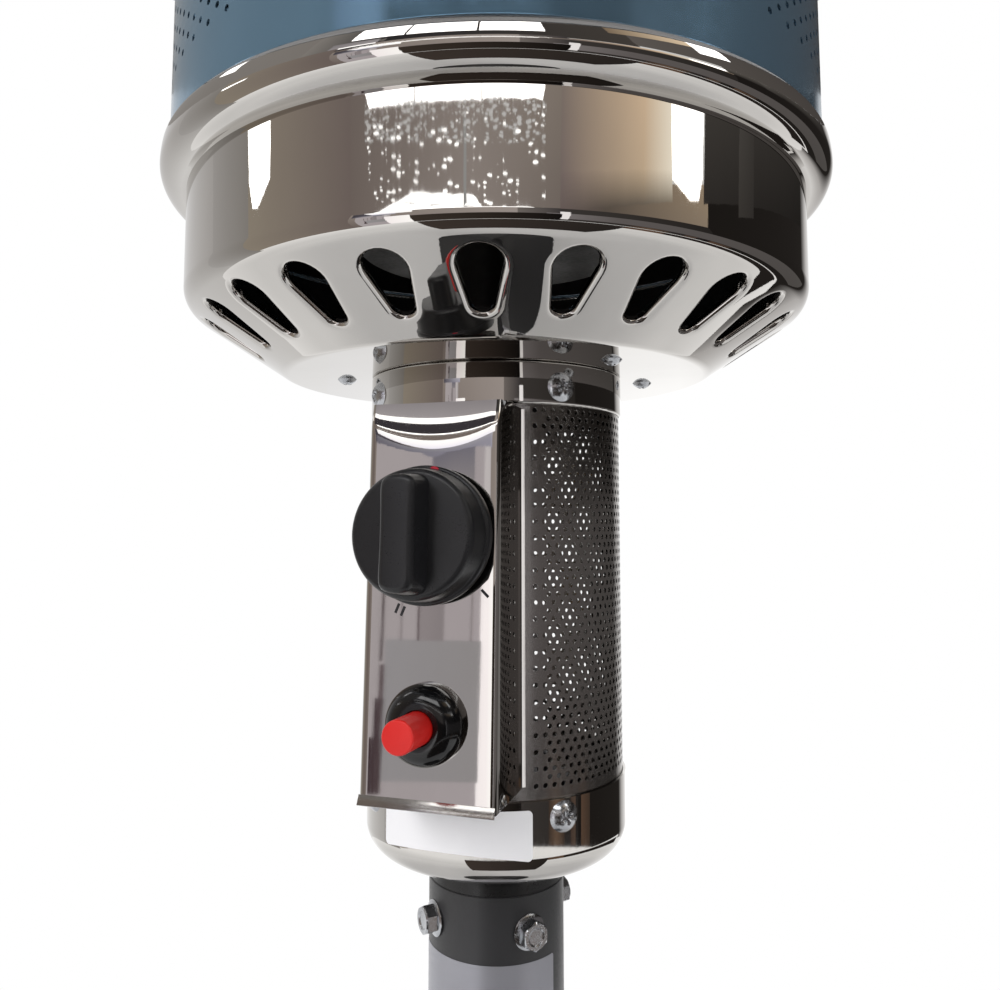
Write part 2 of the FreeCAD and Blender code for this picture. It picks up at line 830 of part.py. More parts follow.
def burner_throat():
    """Mixing tube with air slots below the cup and a floor that holds the injector."""
    low = cup_floor - throat_drop
    body = tube(throat_radius, throat_radius - throat_wall, low, cup_floor + throat_rise)
    body = body.fuse(tube(throat_radius - throat_wall, injector_radius + slip_gap, low, low + 2))
    half = air_slot_width / 2
    slot = block(0, throat_radius + 1, -half, half, low + 5, low + 5 + air_slot_width * 1.2)
    return body.cut(Part.makeCompound(around(slot, air_slot_count, 45.0)))


def burner_head():
    low = cup_floor + throat_rise
    profile = [(0, low), (burner_radius, low), (burner_radius, low + burner_depth),
               (burner_crown_radius, low + burner_crown), (0, low + burner_crown)]
    points = [V(r, 0, z) for r, z in profile]
    return turn(Part.Face(Part.makePolygon(points + [points[0]])))


def injector_foot():
    return cup_floor - throat_drop - 8


def injector():
    low = injector_foot()
    body = hex_bar(injector_radius * 2 + 3, low, low + 8)
    body = body.fuse(Part.makeCone(injector_radius, 2, injector_length, V(0, 0, low + 8)))
    return body.cut(rod(gas_tube_radius + slip_gap, low - 1, low + 6))


def gas_tube():
    """Bent tube from the valve's outlet to the injector."""
    def in_valve(reach):
        return on_panel(Part.Vertex(0, valve_half + reach, outlet_level()), knob_axis()).Point

    points = [in_valve(0), in_valve(9), V(0, 0, injector_foot() - 5), V(0, 0, injector_foot() + 5)]
    path = Part.makePolygon(points)
    profile = Part.Wire(Part.makeCircle(gas_tube_radius, points[0], points[1] - points[0]))
    return path.makePipeShell([profile], True, False, 1)


def pilot_level():
    return cup_floor + throat_rise + burner_depth


def pilot_bracket():
    low = pilot_level()
    post_piece = block(burner_radius, burner_radius + 1.5, -12, 12, low - 14, low + 8)
    return post_piece.fuse(block(burner_radius, burner_radius + 22, -12, 12, low + 6.5, low + 8)).removeSplitter()


def pilot_rod(y, radius, tip, length):
    """A rod that stands on the pilot bracket and tapers to its tip."""
    low = pilot_level() + 8
    body = rod(radius, low, low + length * 0.6).fuse(
        Part.makeCone(radius, tip, length * 0.4, V(0, 0, low + length * 0.6)))
    body.translate(V(burner_radius + 13, y, 0))
    return body


# Emitter screen, its cap and the reflector

def emitter_screen():
    return tube(screen_radius, screen_radius - screen_sheet, screen_foot, screen_top)


def screen_stays():
    """Bent straps that tie the screen down to the inside of the cup's wall."""
    def flat_in(radius):
        return math.sqrt(radius ** 2 - (stay_width / 2) ** 2)

    low_r = flat_in(cup_radius - cup_sheet) - slip_gap * 0.5
    high_r = flat_in(screen_radius - screen_sheet) - slip_gap * 0.5
    points = [(low_r, rim_centre - stay_drop), (low_r, rim_centre - rim_radius * 0.8), (high_r, rim_centre),
              (high_r, screen_foot + stay_rise)]
    strap = sheet_face(points, [0] * 4, stay_sheet).extrude(V(0, stay_width, 0))
    strap.translate(V(0, -stay_width / 2, 0))
    return around(strap, stay_count, stay_first - 90)


def emitter_cap():
    outer = screen_radius + slip_gap + cap_sheet
    return turn(sheet_face([(outer, screen_top - cap_skirt), (outer, crown), (0, crown)], [0] * 3, cap_sheet))


def at_studs(shape):
    piece = shape.copy()
    piece.translate(V(stud_ring, 0, 0))
    return around(piece, stud_count, 90.0)


def reflector_studs():
    """Hexagon spacers between the emitter's cap and the reflector, with a thread through it."""
    return at_studs(hex_bar(stud_across, crown, reflector_seat).fuse(
        rod(thread_radius, reflector_seat - 1, reflector_seat + reflector_sheet)))


def reflector():
    top = reflector_seat + reflector_sheet
    edge = top - reflector_drop
    points = [(0, top), (reflector_crown, top), (reflector_knee, top - reflector_knee_drop),
              (reflector_radius, edge), (reflector_radius, edge - reflector_lip)]
    dish = turn(sheet_face(points, [0, reflector_bend, 0, reflector_corner, 0], -reflector_sheet))
    hole = rod(thread_radius + slip_gap, reflector_seat - 1, top + 1)
    return dish.cut(Part.makeCompound(at_studs(hole)))


def wing_nuts():
    low = reflector_seat + reflector_sheet
    hub = Part.makeCone(wing_hub, wing_hub * 0.75, 7.0, V(0, 0, low))
    points = [V(3.5, -1.2, low + 1), V(8, -1.2, low + 2.5), V(wing_span, -1.2, low + 10),
              V(wing_span - 2, -1.2, low + 14), V(wing_span - 6, -1.2, low + 12), V(4, -1.2, low + 6.5)]
    wing = Part.Face(Part.makePolygon(points + [points[0]])).extrude(V(0, 2.4, 0))
    return at_studs(hub.fuse(wing).fuse(wing.mirror(V(0, 0, 0), V(1, 0, 0))))


def main():
    export("base_pan", base_pan())
    export("foot_pads", *foot_pads())
    export("wheel_bracket", wheel_bracket())
    export("bracket_bolts", *bracket_bolts())
    export("wheel_axle", wheel_axle())
    export("wheel_left", wheel(-1))
    export("wheel_right", wheel(1))

    export("tank_housing", tank_housing())
    export("housing_lid", housing_lid())

    for name, body in zip(("leg_back", "leg_left", "leg_right"), at_azimuths(leg(), leg_azimuths())):
        export(name, body)
    export("leg_bolts", *leg_bolts())
    export("post_socket", post_socket())
    export("post", post())
    export("post_bolts", *post_bolts())

    export("head_spigot", head_spigot())
    export("mounting_plate", mounting_plate())
    export("tilt_switch", tilt_switch())
    export("bell_cap", bell_cap())
    export("shroud", shroud())
    export("upper_collar", upper_collar())

    export("control_panel", control_panel())
    for name, maker in (("knob", knob), ("valve_spindle", valve_spindle), ("knob_spring", knob_spring),
                        ("valve_plug", valve_plug), ("gas_valve", gas_valve), ("gas_inlet", gas_inlet)):
        export(name, on_panel(maker(), knob_axis()))
    for name, maker in (("igniter_bezel", igniter_bezel), ("igniter_button", igniter_button),
                        ("button_spring", button_spring), ("igniter_body", igniter_body),
                        ("igniter_ring_nut", igniter_ring_nut)):
        export(name, on_panel(maker(), igniter_axis()))

    export("burner_cup", burner_cup())
    export("burner_foot", burner_foot())
    export("burner_throat", burner_throat())
    export("burner_head", burner_head())
    export("injector", injector())
    export("gas_tube", gas_tube())
    export("pilot_bracket", pilot_bracket())
    export("thermocouple", pilot_rod(-6, 2.4, 1.4, 24))
    export("spark_electrode", pilot_rod(6, 2.8, 0.9, 20))

    export("emitter_screen", emitter_screen())
    export("screen_stays", *screen_stays())
    export("emitter_cap", emitter_cap())
    export("reflector_studs", *reflector_studs())
    export("reflector", reflector())
    export("wing_nuts", *wing_nuts())

    print("overall height", round(reflector_seat + reflector_sheet + 14, 1), "mm")
    print("knob axis", round(knob_axis(), 2), "igniter axis", round(igniter_axis(), 2), "lean", round(lean, 3))


main()
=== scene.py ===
import math

import bmesh
import bpy
from mathutils import Matrix, Vector


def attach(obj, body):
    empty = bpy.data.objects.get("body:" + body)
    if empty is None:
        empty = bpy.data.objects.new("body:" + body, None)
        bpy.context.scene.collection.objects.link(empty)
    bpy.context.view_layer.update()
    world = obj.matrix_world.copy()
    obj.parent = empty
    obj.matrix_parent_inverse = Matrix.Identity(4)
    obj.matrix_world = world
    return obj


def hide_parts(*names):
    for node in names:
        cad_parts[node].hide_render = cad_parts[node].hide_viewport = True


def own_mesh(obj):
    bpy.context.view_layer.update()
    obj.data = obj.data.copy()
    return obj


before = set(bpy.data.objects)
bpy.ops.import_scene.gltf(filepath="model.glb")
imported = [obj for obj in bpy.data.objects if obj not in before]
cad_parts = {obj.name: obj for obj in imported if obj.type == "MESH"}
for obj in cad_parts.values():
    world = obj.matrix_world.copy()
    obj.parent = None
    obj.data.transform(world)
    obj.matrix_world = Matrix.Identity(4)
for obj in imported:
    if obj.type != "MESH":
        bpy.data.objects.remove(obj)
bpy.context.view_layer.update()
print("frame loaded:", len(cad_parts), "nodes")

mm = 0.001

# levels of the model that several pieces share, in mm from the floor
levels = {
    "postTop": 1622.0, "bellFoot": 1627.0, "bellRim": 1666.5, "collarFoot": 1815.4, "cupFloor": 1832.3,
    "rimCentre": 1912.0, "screenFoot": 1907.44, "screenTop": 2217.44, "reflectorTop": 2287.24,
    "knobAxis": 1765.0, "igniterAxis": 1700.0, "panelFoot": 1671.5, "panelTop": 1813.5,
}
panelFront = 81.5               # distance of the control panel's foot from the post's axis
lean = math.atan2(6.0, 142.0)   # the control panel leans back at its top


def linearColour(code):
    channels = [int(code[i:i + 2], 16) / 255 for i in (1, 3, 5)]
    return tuple(c / 12.92 if c <= 0.04045 else ((c + 0.055) / 1.055) ** 2.4 for c in channels) + (1.0,)


def addNode(tree, kind, inputs=None, **settings):
    # inputs: sockets by name or number, each with a value, a socket or a node, which stands for its first output
    node = tree.nodes.new(kind if kind.startswith(("Geometry", "Function", "NodeGroup")) else "ShaderNode" + kind)
    for key, value in settings.items():
        setattr(node, key, value)
    for key, value in (inputs or {}).items():
        if isinstance(value, bpy.types.Node):
            value = value.outputs[0]
        if isinstance(value, bpy.types.NodeSocket):
            tree.links.new(value, node.inputs[key])
        else:
            node.inputs[key].default_value = value
    return node


def newMaterial(name):
    material = bpy.data.materials.new(name)
    material.use_nodes = True
    material.node_tree.nodes.clear()
    return material, material.node_tree


def finish(name, colours, roughness, metallic=0.0, patch=30.0, grain=(1.0, 1.0, 1.0), bump=0.0, stretch=(1, 1, 1),
           turned=False, **shader):
    # colours: two tones that drift into each other over patches, sizes in mm; turned: fine marks run round the post
    material, tree = newMaterial(name)
    where = addNode(tree, "TexCoord").outputs["Object"]
    wide = addNode(tree, "Mapping", {"Vector": where, "Scale": [1000 / patch * s for s in stretch]})
    if turned:
        spot = addNode(tree, "SeparateXYZ", {0: where}).outputs
        flat = addNode(tree, "CombineXYZ", {"X": spot["X"], "Y": spot["Y"]})
        reach = addNode(tree, "VectorMath", {0: flat}, operation="LENGTH").outputs["Value"]
        where = addNode(tree, "CombineXYZ", {"X": reach, "Z": spot["Z"]})
    fine = addNode(tree, "Mapping", {"Vector": where, "Scale": [1000 / g for g in grain]})
    clouds = addNode(tree, "TexNoise", {"Vector": wide, "Scale": 1.0, "Detail": 4.0, "Roughness": 0.6})
    grit = addNode(tree, "TexNoise", {"Vector": fine, "Scale": 1.0, "Detail": 2.0})
    tint = addNode(tree, "Mix", {"Factor": clouds, "A": linearColour(colours[0]), "B": linearColour(colours[1])},
                   data_type="RGBA")
    worn = addNode(tree, "Math", {0: clouds, 1: grit}, operation="MULTIPLY")
    rough = addNode(tree, "MapRange", {"Value": worn, "From Min": 0.12, "From Max": 0.4,
                                       "To Min": roughness[0], "To Max": roughness[1]})
    look = {"Base Color": tint.outputs["Result"], "Metallic": metallic, "Roughness": rough}
    look.update({key.replace("_", " "): value for key, value in shader.items()})
    if bump:
        look["Normal"] = addNode(tree, "Bump", {"Height": grit, "Strength": 1.0, "Distance": bump * mm})
    addNode(tree, "OutputMaterial", {"Surface": addNode(tree, "BsdfPrincipled", look)})
    return material


def roundedPath(points, radii, steps=6):
    # a polyline with arcs at its inner corners
    path = [Vector(points[0])]
    for before, corner, after, radius in zip(points, points[1:], points[2:], radii[1:]):
        corner, back, ahead = Vector(corner), Vector(before) - Vector(corner), Vector(after) - Vector(corner)
        half = back.angle(ahead) / 2
        if radius <= 0 or half > math.radians(89.5):
            path.append(corner)
            continue
        back.normalize()
        ahead.normalize()
        reach = radius / math.tan(half)
        middle = corner + (back + ahead).normalized() * radius / math.sin(half)
        first, last = corner + back * reach - middle, corner + ahead * reach - middle
        sweep = first.angle_signed(last)
        for i in range(steps + 1):
            turn = -sweep * i / steps
            path.append(middle + Vector((first.x * math.cos(turn) - first.y * math.sin(turn),
                                         first.x * math.sin(turn) + first.y * math.cos(turn))))
    path.append(Vector(points[-1]))
    return path


def sheetSection(path, thickness):
    # closed outline of a sheet that lies to the left of its path
    other = []
    for i, point in enumerate(path):
        before = (point - path[i - 1]).normalized() if i else None
        after = (path[i + 1] - point).normalized() if i < len(path) - 1 else None
        a = before or after
        b = after or before
        normal = Vector((-a.y - b.y, a.x + b.x))
        other.append(point + normal * (2 / normal.length_squared) * thickness)
    return list(path) + other[::-1]


def atPost(angle, radius, height):
    # a point in metres from its angle round the post, 0 at the front, and its radius and height in mm
    return radius * mm * math.sin(angle), -radius * mm * math.cos(angle), height * mm


def bridge(bm, rings, skip=(), caps=False):
    # faces between neighbouring rings of vertices, but for the places to skip, and over the first and last ring
    for a, b in zip(rings, rings[1:]):
        for j in range(len(a)):
            if j not in skip:
                k = (j + 1) % len(a)
                bm.faces.new((a[j], a[k], b[k], b[j]))
    if caps:
        bm.faces.new(rings[0][::-1])
        bm.faces.new(rings[-1])


def spin(bm, section, segments):
    # turns a closed outline of (radius, height) in mm about the post's axis
    rings = [[bm.verts.new(atPost(math.radians(360.0 * i / segments), *p)) for p in section] for i in range(segments)]
    onAxis = [p[0] < 1e-6 for p in section]
    bridge(bm, rings + rings[:1], [j for j in range(len(section)) if onAxis[j] and onAxis[(j + 1) % len(section)]])


def tidyMesh(bm, sharp):
    bmesh.ops.remove_doubles(bm, verts=bm.verts, dist=1e-6)
    bmesh.ops.dissolve_degenerate(bm, edges=bm.edges, dist=1e-7)
    bmesh.ops.recalc_face_normals(bm, faces=bm.faces)
    for face in bm.faces:
        face.smooth = True
    for edge in bm.edges:
        edge.smooth = len(edge.link_faces) == 2 and edge.calc_face_angle(3.0) < math.radians(sharp)


def meshObject(name, bm):
    mesh = bpy.data.meshes.new(name)
    bm.to_mesh(mesh)
    bm.free()
    thing = bpy.data.objects.new(name, mesh)
    bpy.context.scene.collection.objects.link(thing)
    return thing


def mergeMesh(bm, mesh):
    bm.from_mesh(mesh)
    bpy.data.meshes.remove(mesh)


def addBox(bm, place, size):
    box = bmesh.ops.create_cube(bm, size=1.0)["verts"]
    bmesh.ops.transform(bm, matrix=place @ Matrix.Diagonal([side * mm for side in size] + [1]), verts=box)


def newPiece(name, bm, material, body="stand", slot=None, instead=(), place=None, sharp=32.0, second=None):
    # second: another finish, and a test that says which faces get it
    if place is not None:
        bmesh.ops.transform(bm, matrix=place, verts=bm.verts)
    tidyMesh(bm, sharp)
    piece = meshObject(name, bm)
    mesh = piece.data
    mesh.materials.append(material)
    if second:
        mesh.materials.append(second[0])
        for face in mesh.polygons:
            face.material_index = int(second[1](face.center / mm, face.normal))
    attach(piece, body)
    if instead:
        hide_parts(*instead)
    return piece


def turnedPiece(name, sections, material, segments=192, **where):
    bm = bmesh.new()
    for section in sections:
        spin(bm, section, segments)
    return newPiece(name, bm, material, **where)


def outward(azimuth, radius, height):
    # from "made along +Z, seat at 0" to "points away from the post's axis", sizes in mm
    return (Matrix.Rotation(math.radians(azimuth), 4, "Z") @ Matrix.Translation((0, -radius * mm, height * mm))
            @ Matrix.Rotation(math.radians(90), 4, "X"))


def panelDepth(height):
    return panelFront - (height - levels["panelFoot"]) * math.tan(lean)


def onPanel(height):
    return (Matrix.Translation((0, -panelDepth(height) * mm, height * mm))
            @ Matrix.Rotation(math.radians(90) - lean, 4, "X"))


# stainless steel sheet, pressed and buffed to a mirror: sharp reflections, faint draw marks and wiped smudges
mirrorSteel = finish("mirrorPolishedSteel", ("#c9c6c2", "#b9b6b2"), (0.008, 0.022), 1.0, patch=45, grain=(0.5, 0.5, 30),
                     bump=0.0012, stretch=(1, 1, 0.4))
# the smaller pressings, buffed a little less: the same chrome look with softer edges in what it mirrors
buffedSteel = finish("buffedSteel", ("#c9c6c2", "#b9b6b2"), (0.02, 0.042), 1.0, patch=45, grain=(0.9, 0.9, 24),
                     bump=0.0004, stretch=(1, 1, 0.4))
# the same sheet left with its rolled finish: soft reflections
satinSteel = finish("rolledSteel", ("#a9a7a4", "#8f8d8a"), (0.18, 0.34), 1.0, patch=25, grain=(0.6, 0.6, 6), bump=0.006)
# perforated stainless sheet: polished before it is punched, so darker and softer than the bell, with fine scuffs
punchedSteel = finish("punchedStainlessSheet", ("#aeaba8", "#9b9895"), (0.14, 0.26), 1.0, patch=60, grain=(1.5, 1.5, 6),
                      bump=0.003)
# zinc-plated steel fasteners: bright, a little blue, fine tumbling scratches
zincSteel = finish("zincPlatedSteel", ("#c4c6ca", "#a3a5a8"), (0.12, 0.3), 1.0, patch=6, grain=(0.5, 0.5, 0.5),
                   bump=0.01)
# blue protective film on steel: cloudy blue, soft sheen, tiny bubbles
filmedSteel = finish("blueFilmOnSteel", ("#82a7c1", "#7698b2"), (0.1, 0.16), 0.85, patch=90, grain=(9, 9, 14),
                     bump=0.004)
# the raw side of the screen and the cup's inside: unpolished steel that hardly reflects, its colour darkened as painted
# shade for the dark inside of the burner
shadedRawSteel = finish("rawDarkSteel", ("#3a3836", "#2c2a29"), (0.5, 0.7), 0.8, patch=25, grain=(2, 2, 2), bump=0.01)
# polyester powder coat, charcoal: satin with a fine orange peel
powderCoat = finish("charcoalPowderCoat", ("#2d2d2f", "#262628"), (0.36, 0.5), 0.0, patch=60, grain=(1.1, 1.1, 1.1),
                    bump=0.02, Coat_Weight=0.15, Coat_Roughness=0.3)
# black enamel on the spigot: smooth, with a soft sheen
blackEnamel = finish("blackEnamel", ("#141415", "#0e0e0f"), (0.25, 0.4), 0.0, patch=20, grain=(1, 1, 1), bump=0.01)
# moulded ABS, satin black: fine spark-eroded texture and soft sheen
satinAbs = finish("satinBlackAbs", ("#1f1f21", "#19191b"), (0.26, 0.38), 0.0, patch=12, grain=(0.35, 0.35, 0.35),
                  bump=0.012, Specular_IOR_Level=0.38)
# moulded ABS, gloss black: smooth, with a clear shine
glossAbs = finish("glossBlackAbs", ("#0d0d0e", "#09090a"), (0.08, 0.16), 0.0, patch=12, grain=(1.5, 1.5, 1.5),
                  bump=0.004)
# moulded polypropylene, red: slight flow lines, waxy
redPlastic = finish("redPolypropylene", ("#d8201b", "#c41a16"), (0.28, 0.42), 0.0, patch=8, grain=(0.4, 0.4, 3),
                    bump=0.01)
# red print: flat colour, almost matt
redInk = finish("redMarkInk", ("#b01a30", "#9a1428"), (0.4, 0.5), 0.0, patch=3, grain=(0.3, 0.3, 0.3), bump=0.003)
# black print on metal: flat, almost matt
blackInk = finish("blackMarkInk", ("#1b1b1d", "#26262a"), (0.4, 0.55), 0.0, patch=3, grain=(0.3, 0.3, 0.3), bump=0.003)
# white vinyl sticker: flat white with a slight satin
whiteVinyl = finish("whiteVinyl", ("#f4f3f5", "#ecebee"), (0.3, 0.42), 0.0, patch=20, grain=(2, 2, 2), bump=0.006)
# metallised polyester label: silver grey, fine brushed look
silverLabel = finish("silverPolyesterLabel", ("#a3a3aa", "#97979e"), (0.3, 0.42), 0.55, patch=40, grain=(8, 8, 0.5),
                     bump=0.004)
# spun aluminium: bright, with fine turning marks in rings
spunAluminium = finish("spunAluminium", ("#c9cacc", "#bcbdbf"), (0.16, 0.26), 1.0, patch=160, grain=(1.3, 1, 1.3),
                       bump=0.004, turned=True)
# burner steel, dulled by heat: grey and nearly matt
dullSteel = finish("dullPlateSteel", ("#7d7b78", "#5f5d5b"), (0.35, 0.55), 1.0, patch=30, grain=(1.5, 1.5, 1.5),
                   bump=0.01)
# turned brass: warm, with fine tool marks
brass = finish("turnedBrass", ("#b8925a", "#a27c45"), (0.2, 0.36), 1.0, patch=8, grain=(0.4, 0.4, 0.4), bump=0.006)
# die-cast alloy: grey, matt and a little rough
castAlloy = finish("dieCastAlloy", ("#9c9c9e", "#86868a"), (0.4, 0.6), 1.0, patch=10, grain=(0.7, 0.7, 0.7), bump=0.03)
# drawn aluminium tube: pale, with a soft sheen
drawnAluminium = finish("drawnAluminium", ("#bdbdc0", "#a9a9ad"), (0.25, 0.4), 1.0, patch=14, grain=(0.5, 0.5, 4),
                        bump=0.01)
# glazed ceramic: creamy white and glossy
ceramic = finish("glazedCeramic", ("#ece9e0", "#e0dccf"), (0.12, 0.25), 0.0, patch=6, grain=(1, 1, 1), bump=0.006)
# moulded rubber: dull black
rubber = finish("mouldedRubber", ("#1b1b1b", "#232323"), (0.7, 0.9), 0.0, patch=10, grain=(0.8, 0.8, 0.8), bump=0.03)
print("materials made:", len(bpy.data.materials))


# slope: radius and rise of its middle; shoulder and wallRise: from the foot to the slope's end and to the straight wall
bellSettings = {"radius": 55.1, "sheet": 0.9, "hole": 27.2, "seat": 30.5, "slope": (46.8, 7.6), "shoulder": 11.5,
                "curve": 12.0, "wallRise": 19.1, "segments": 256}


def makeBell(s):
    # a flat seat on the spigot, a shallow dished slope, a rounded shoulder and a straight wall
    base, rim = levels["bellFoot"], levels["bellRim"]
    path = roundedPath([(s["hole"], base), (s["seat"], base), (s["slope"][0], base + s["slope"][1]),
                        (s["radius"], base + s["shoulder"]), (s["radius"], rim)], [0, 3.0, 26.0, s["curve"], 0], 14)
    turnedPiece("bell", [sheetSection(path, s["sheet"])], buffedSteel, s["segments"], slot="polished_steel",
                instead=["bell_cap"], sharp=50)


spigotSettings = {"bore": 24.9, "tube": 26.9, "shoulder": 28.2, "down": 62.0, "up": 12.0, "segments": 128}


def makeSpigot(s):
    top, base, bore, tube, wide = levels["bellFoot"], levels["postTop"], s["bore"], s["tube"], s["shoulder"]
    outline = [(bore, base - s["down"]), (tube, base - s["down"]), (tube, base), (wide - 0.2, base), (wide, base + 0.2),
               (wide, top - 0.3), (wide - 0.3, top), (tube, top), (tube, top + s["up"]), (bore, top + s["up"])]
    turnedPiece("spigot", [outline], blackEnamel, s["segments"], slot="black_paint", instead=["head_spigot"])


collarSettings = {"radius": 55.1, "sheet": 0.9, "lip": 0.9, "segments": 256}


def makeCollar(s):
    base, top, wide = levels["collarFoot"], levels["cupFloor"], s["radius"]
    narrow = wide - s["lip"]
    path = roundedPath([(narrow, base), (wide, base + 0.5), (wide, top - 0.5), (narrow, top)], [0, 0.8, 0.8, 0], 4)
    turnedPiece("collar", [sheetSection(path, s["sheet"])], buffedSteel, s["segments"], slot="polished_steel",
                instead=["upper_collar"], sharp=50)


makeBell(bellSettings)
makeSpigot(spigotSettings)
makeCollar(collarSettings)
print("bell, spigot and collar made")


def holedSector(spot, hole, normals, edges, rings, lip):
    # One sector of a sheet, open at the sector's edges. spot(s, t, depth) places a point; hole and normals: the hole's
    # outline and the way outwards at each point; edges: as many points round the sector; lip: (growth, depth) pairs
    # from the sheet's outside, round the turned-in edge, to its inside.
    bm = bmesh.new()

    def row(growth, depth, share):
        return [bm.verts.new(spot(*(point + normal * growth).lerp(edge, share), depth))
                for point, normal, edge in zip(hole, normals, edges)]

    bridge(bm, [row(*lip[0], r / rings) for r in range(rings, 0, -1)] + [row(growth, depth, 0) for growth, depth in lip]
           + [row(*lip[-1], r / rings) for r in range(1, rings + 1)])
    return bm


def teardropOutline(small, large, span, start, ends, sides):
    # narrow end at (start, 0), wide end at (start + span, 0); ends and sides: points on each arc and each side
    tilt = math.asin((large - small) / span)
    points, normals = [], []
    near, far = (Vector((start, 0)), small), (Vector((start + span, 0)), large)
    for (centre, radius), (other, otherRadius), begin, sweep in (
            (near, far, math.pi / 2 + tilt, math.pi - 2 * tilt), (far, near, -math.pi / 2 - tilt, math.pi + 2 * tilt)):
        for i in range(ends):
            a = begin + sweep * i / (ends - 1)
            normals.append(Vector((math.cos(a), math.sin(a))))
            points.append(centre + normals[-1] * radius)
        for i in range(1, sides):
            normals.append(normals[-1])
            points.append((centre + normals[-1] * radius).lerp(other + normals[-1] * otherRadius, i / sides))
    return points, normals


def sectorEdges(low, high, halfAt, ends, sides):
    # points round a sector, starting at its low end's +t corner, in step with teardropOutline
    points = []
    for begin, end, way in ((low, high, 1), (high, low, -1)):
        points += [Vector((begin, way * halfAt(begin) * (1 - 2 * i / (ends - 1)))) for i in range(ends)]
        along = [begin + (end - begin) * i / sides for i in range(1, sides)]
        points += [Vector((s, -way * halfAt(s))) for s in along]
    return points


def newTree(name, inputs):
    # a tree with its named inputs: (name, kind, default)
    tree = bpy.data.node_groups.new(name, "GeometryNodeTree")
    ids = {}
    for label, kind, default in inputs:
        socket = tree.interface.new_socket(name=label, in_out="INPUT", socket_type="NodeSocket" + kind)
        ids[label] = socket.identifier
        if default is not None:
            socket.default_value = default
    tree.interface.new_socket(name="Geometry", in_out="OUTPUT", socket_type="NodeSocketGeometry")
    return tree, ids, addNode(tree, "NodeGroupInput").outputs


def endTree(tree, geometry, material):
    real = addNode(tree, "GeometryNodeRealizeInstances", {"Geometry": geometry})
    dressed = addNode(tree, "GeometryNodeSetMaterial", {"Geometry": real, "Material": material})
    addNode(tree, "NodeGroupOutput", {"Geometry": dressed})


def runTree(name, tree, ids, values):
    # puts a tree on a helper object, sets its inputs by identifier and returns the plain mesh it makes
    holder = bpy.data.objects.new(name + "Helper", bpy.data.meshes.new(name + "Helper"))
    bpy.context.scene.collection.objects.link(holder)
    modifier = holder.modifiers.new(name, "NODES")
    modifier.node_group = tree
    for label, value in values.items():
        modifier[ids[label]] = value
    holder.update_tag()
    bpy.context.view_layer.update()
    mesh = bpy.data.meshes.new_from_object(holder.evaluated_get(bpy.context.evaluated_depsgraph_get()))
    holder.modifiers.remove(modifier)
    bpy.data.objects.remove(holder)
    for value in values.values():
        if isinstance(value, bpy.types.Object):
            bpy.data.objects.remove(value)
    return mesh


def ringTree():
    # copies one shape round the post's axis, after a first angle
    tree, ids, given = newTree("roundTheAxis", (
        ("Shape", "Object", None), ("Count", "Int", 4), ("First Angle", "Float", 0.0), ("Material", "Material", None)))
    shape = addNode(tree, "GeometryNodeObjectInfo", {"Object": given["Shape"]}).outputs["Geometry"]
    points = addNode(tree, "GeometryNodePoints", {"Count": given["Count"]})
    index = addNode(tree, "GeometryNodeInputIndex")
    step = addNode(tree, "Math", {0: 2 * math.pi, 1: given["Count"]}, operation="DIVIDE")
    angle = addNode(tree, "Math", {0: index, 1: step, 2: given["First Angle"]}, operation="MULTIPLY_ADD")
    turn = addNode(tree, "CombineXYZ", {"Z": angle})
    copies = addNode(tree, "GeometryNodeInstanceOnPoints", {"Points": points, "Instance": shape, "Rotation": turn})
    endTree(tree, copies, given["Material"])
    return tree, ids


roundAxis = ringTree()


def addCopiesRound(bm, name, shape, place, count, first, material):
    # adds copies of a shape, put in its place at the front, to a mesh
    bmesh.ops.transform(shape, matrix=place, verts=shape.verts)
    values = {"Shape": meshObject(name + "Shape", shape), "Count": count, "First Angle": math.radians(first),
              "Material": material}
    mergeMesh(bm, runTree(name, *roundAxis, values))


cupSettings = {
    "floorRadius": 92.0, "wallRadius": 133.1, "coneRise": 26.6, "sheet": 0.9, "cornerRadius": 9.0, "bendRadius": 7.0,
    # slots: radii of their ends' centres, radii of the ends, and the edges turned into the cup
    "slots": 24, "slotInner": 105.4, "slotOuter": 119.5, "narrow": 4.4, "wide": 7.7, "edgeRadius": 2.0,
    "edgeDepth": 3.2, "slotPoints": (17, 18), "rimCentre": 135.0, "rimRadius": 8.5, "throat": 19.3,
    "band": (6.0, 43.2),        # the slotted band, measured up the cone from the floor's edge
    # the roll's outline from its foot upwards: angle reached, radius of the bend, steps. Its outside is nearly flat.
    "rimStart": 9.0, "rimArcs": ((1.2, 8.5, 22), (10.6, 30.0, 8), (62.0, 4.0, 10)),
}


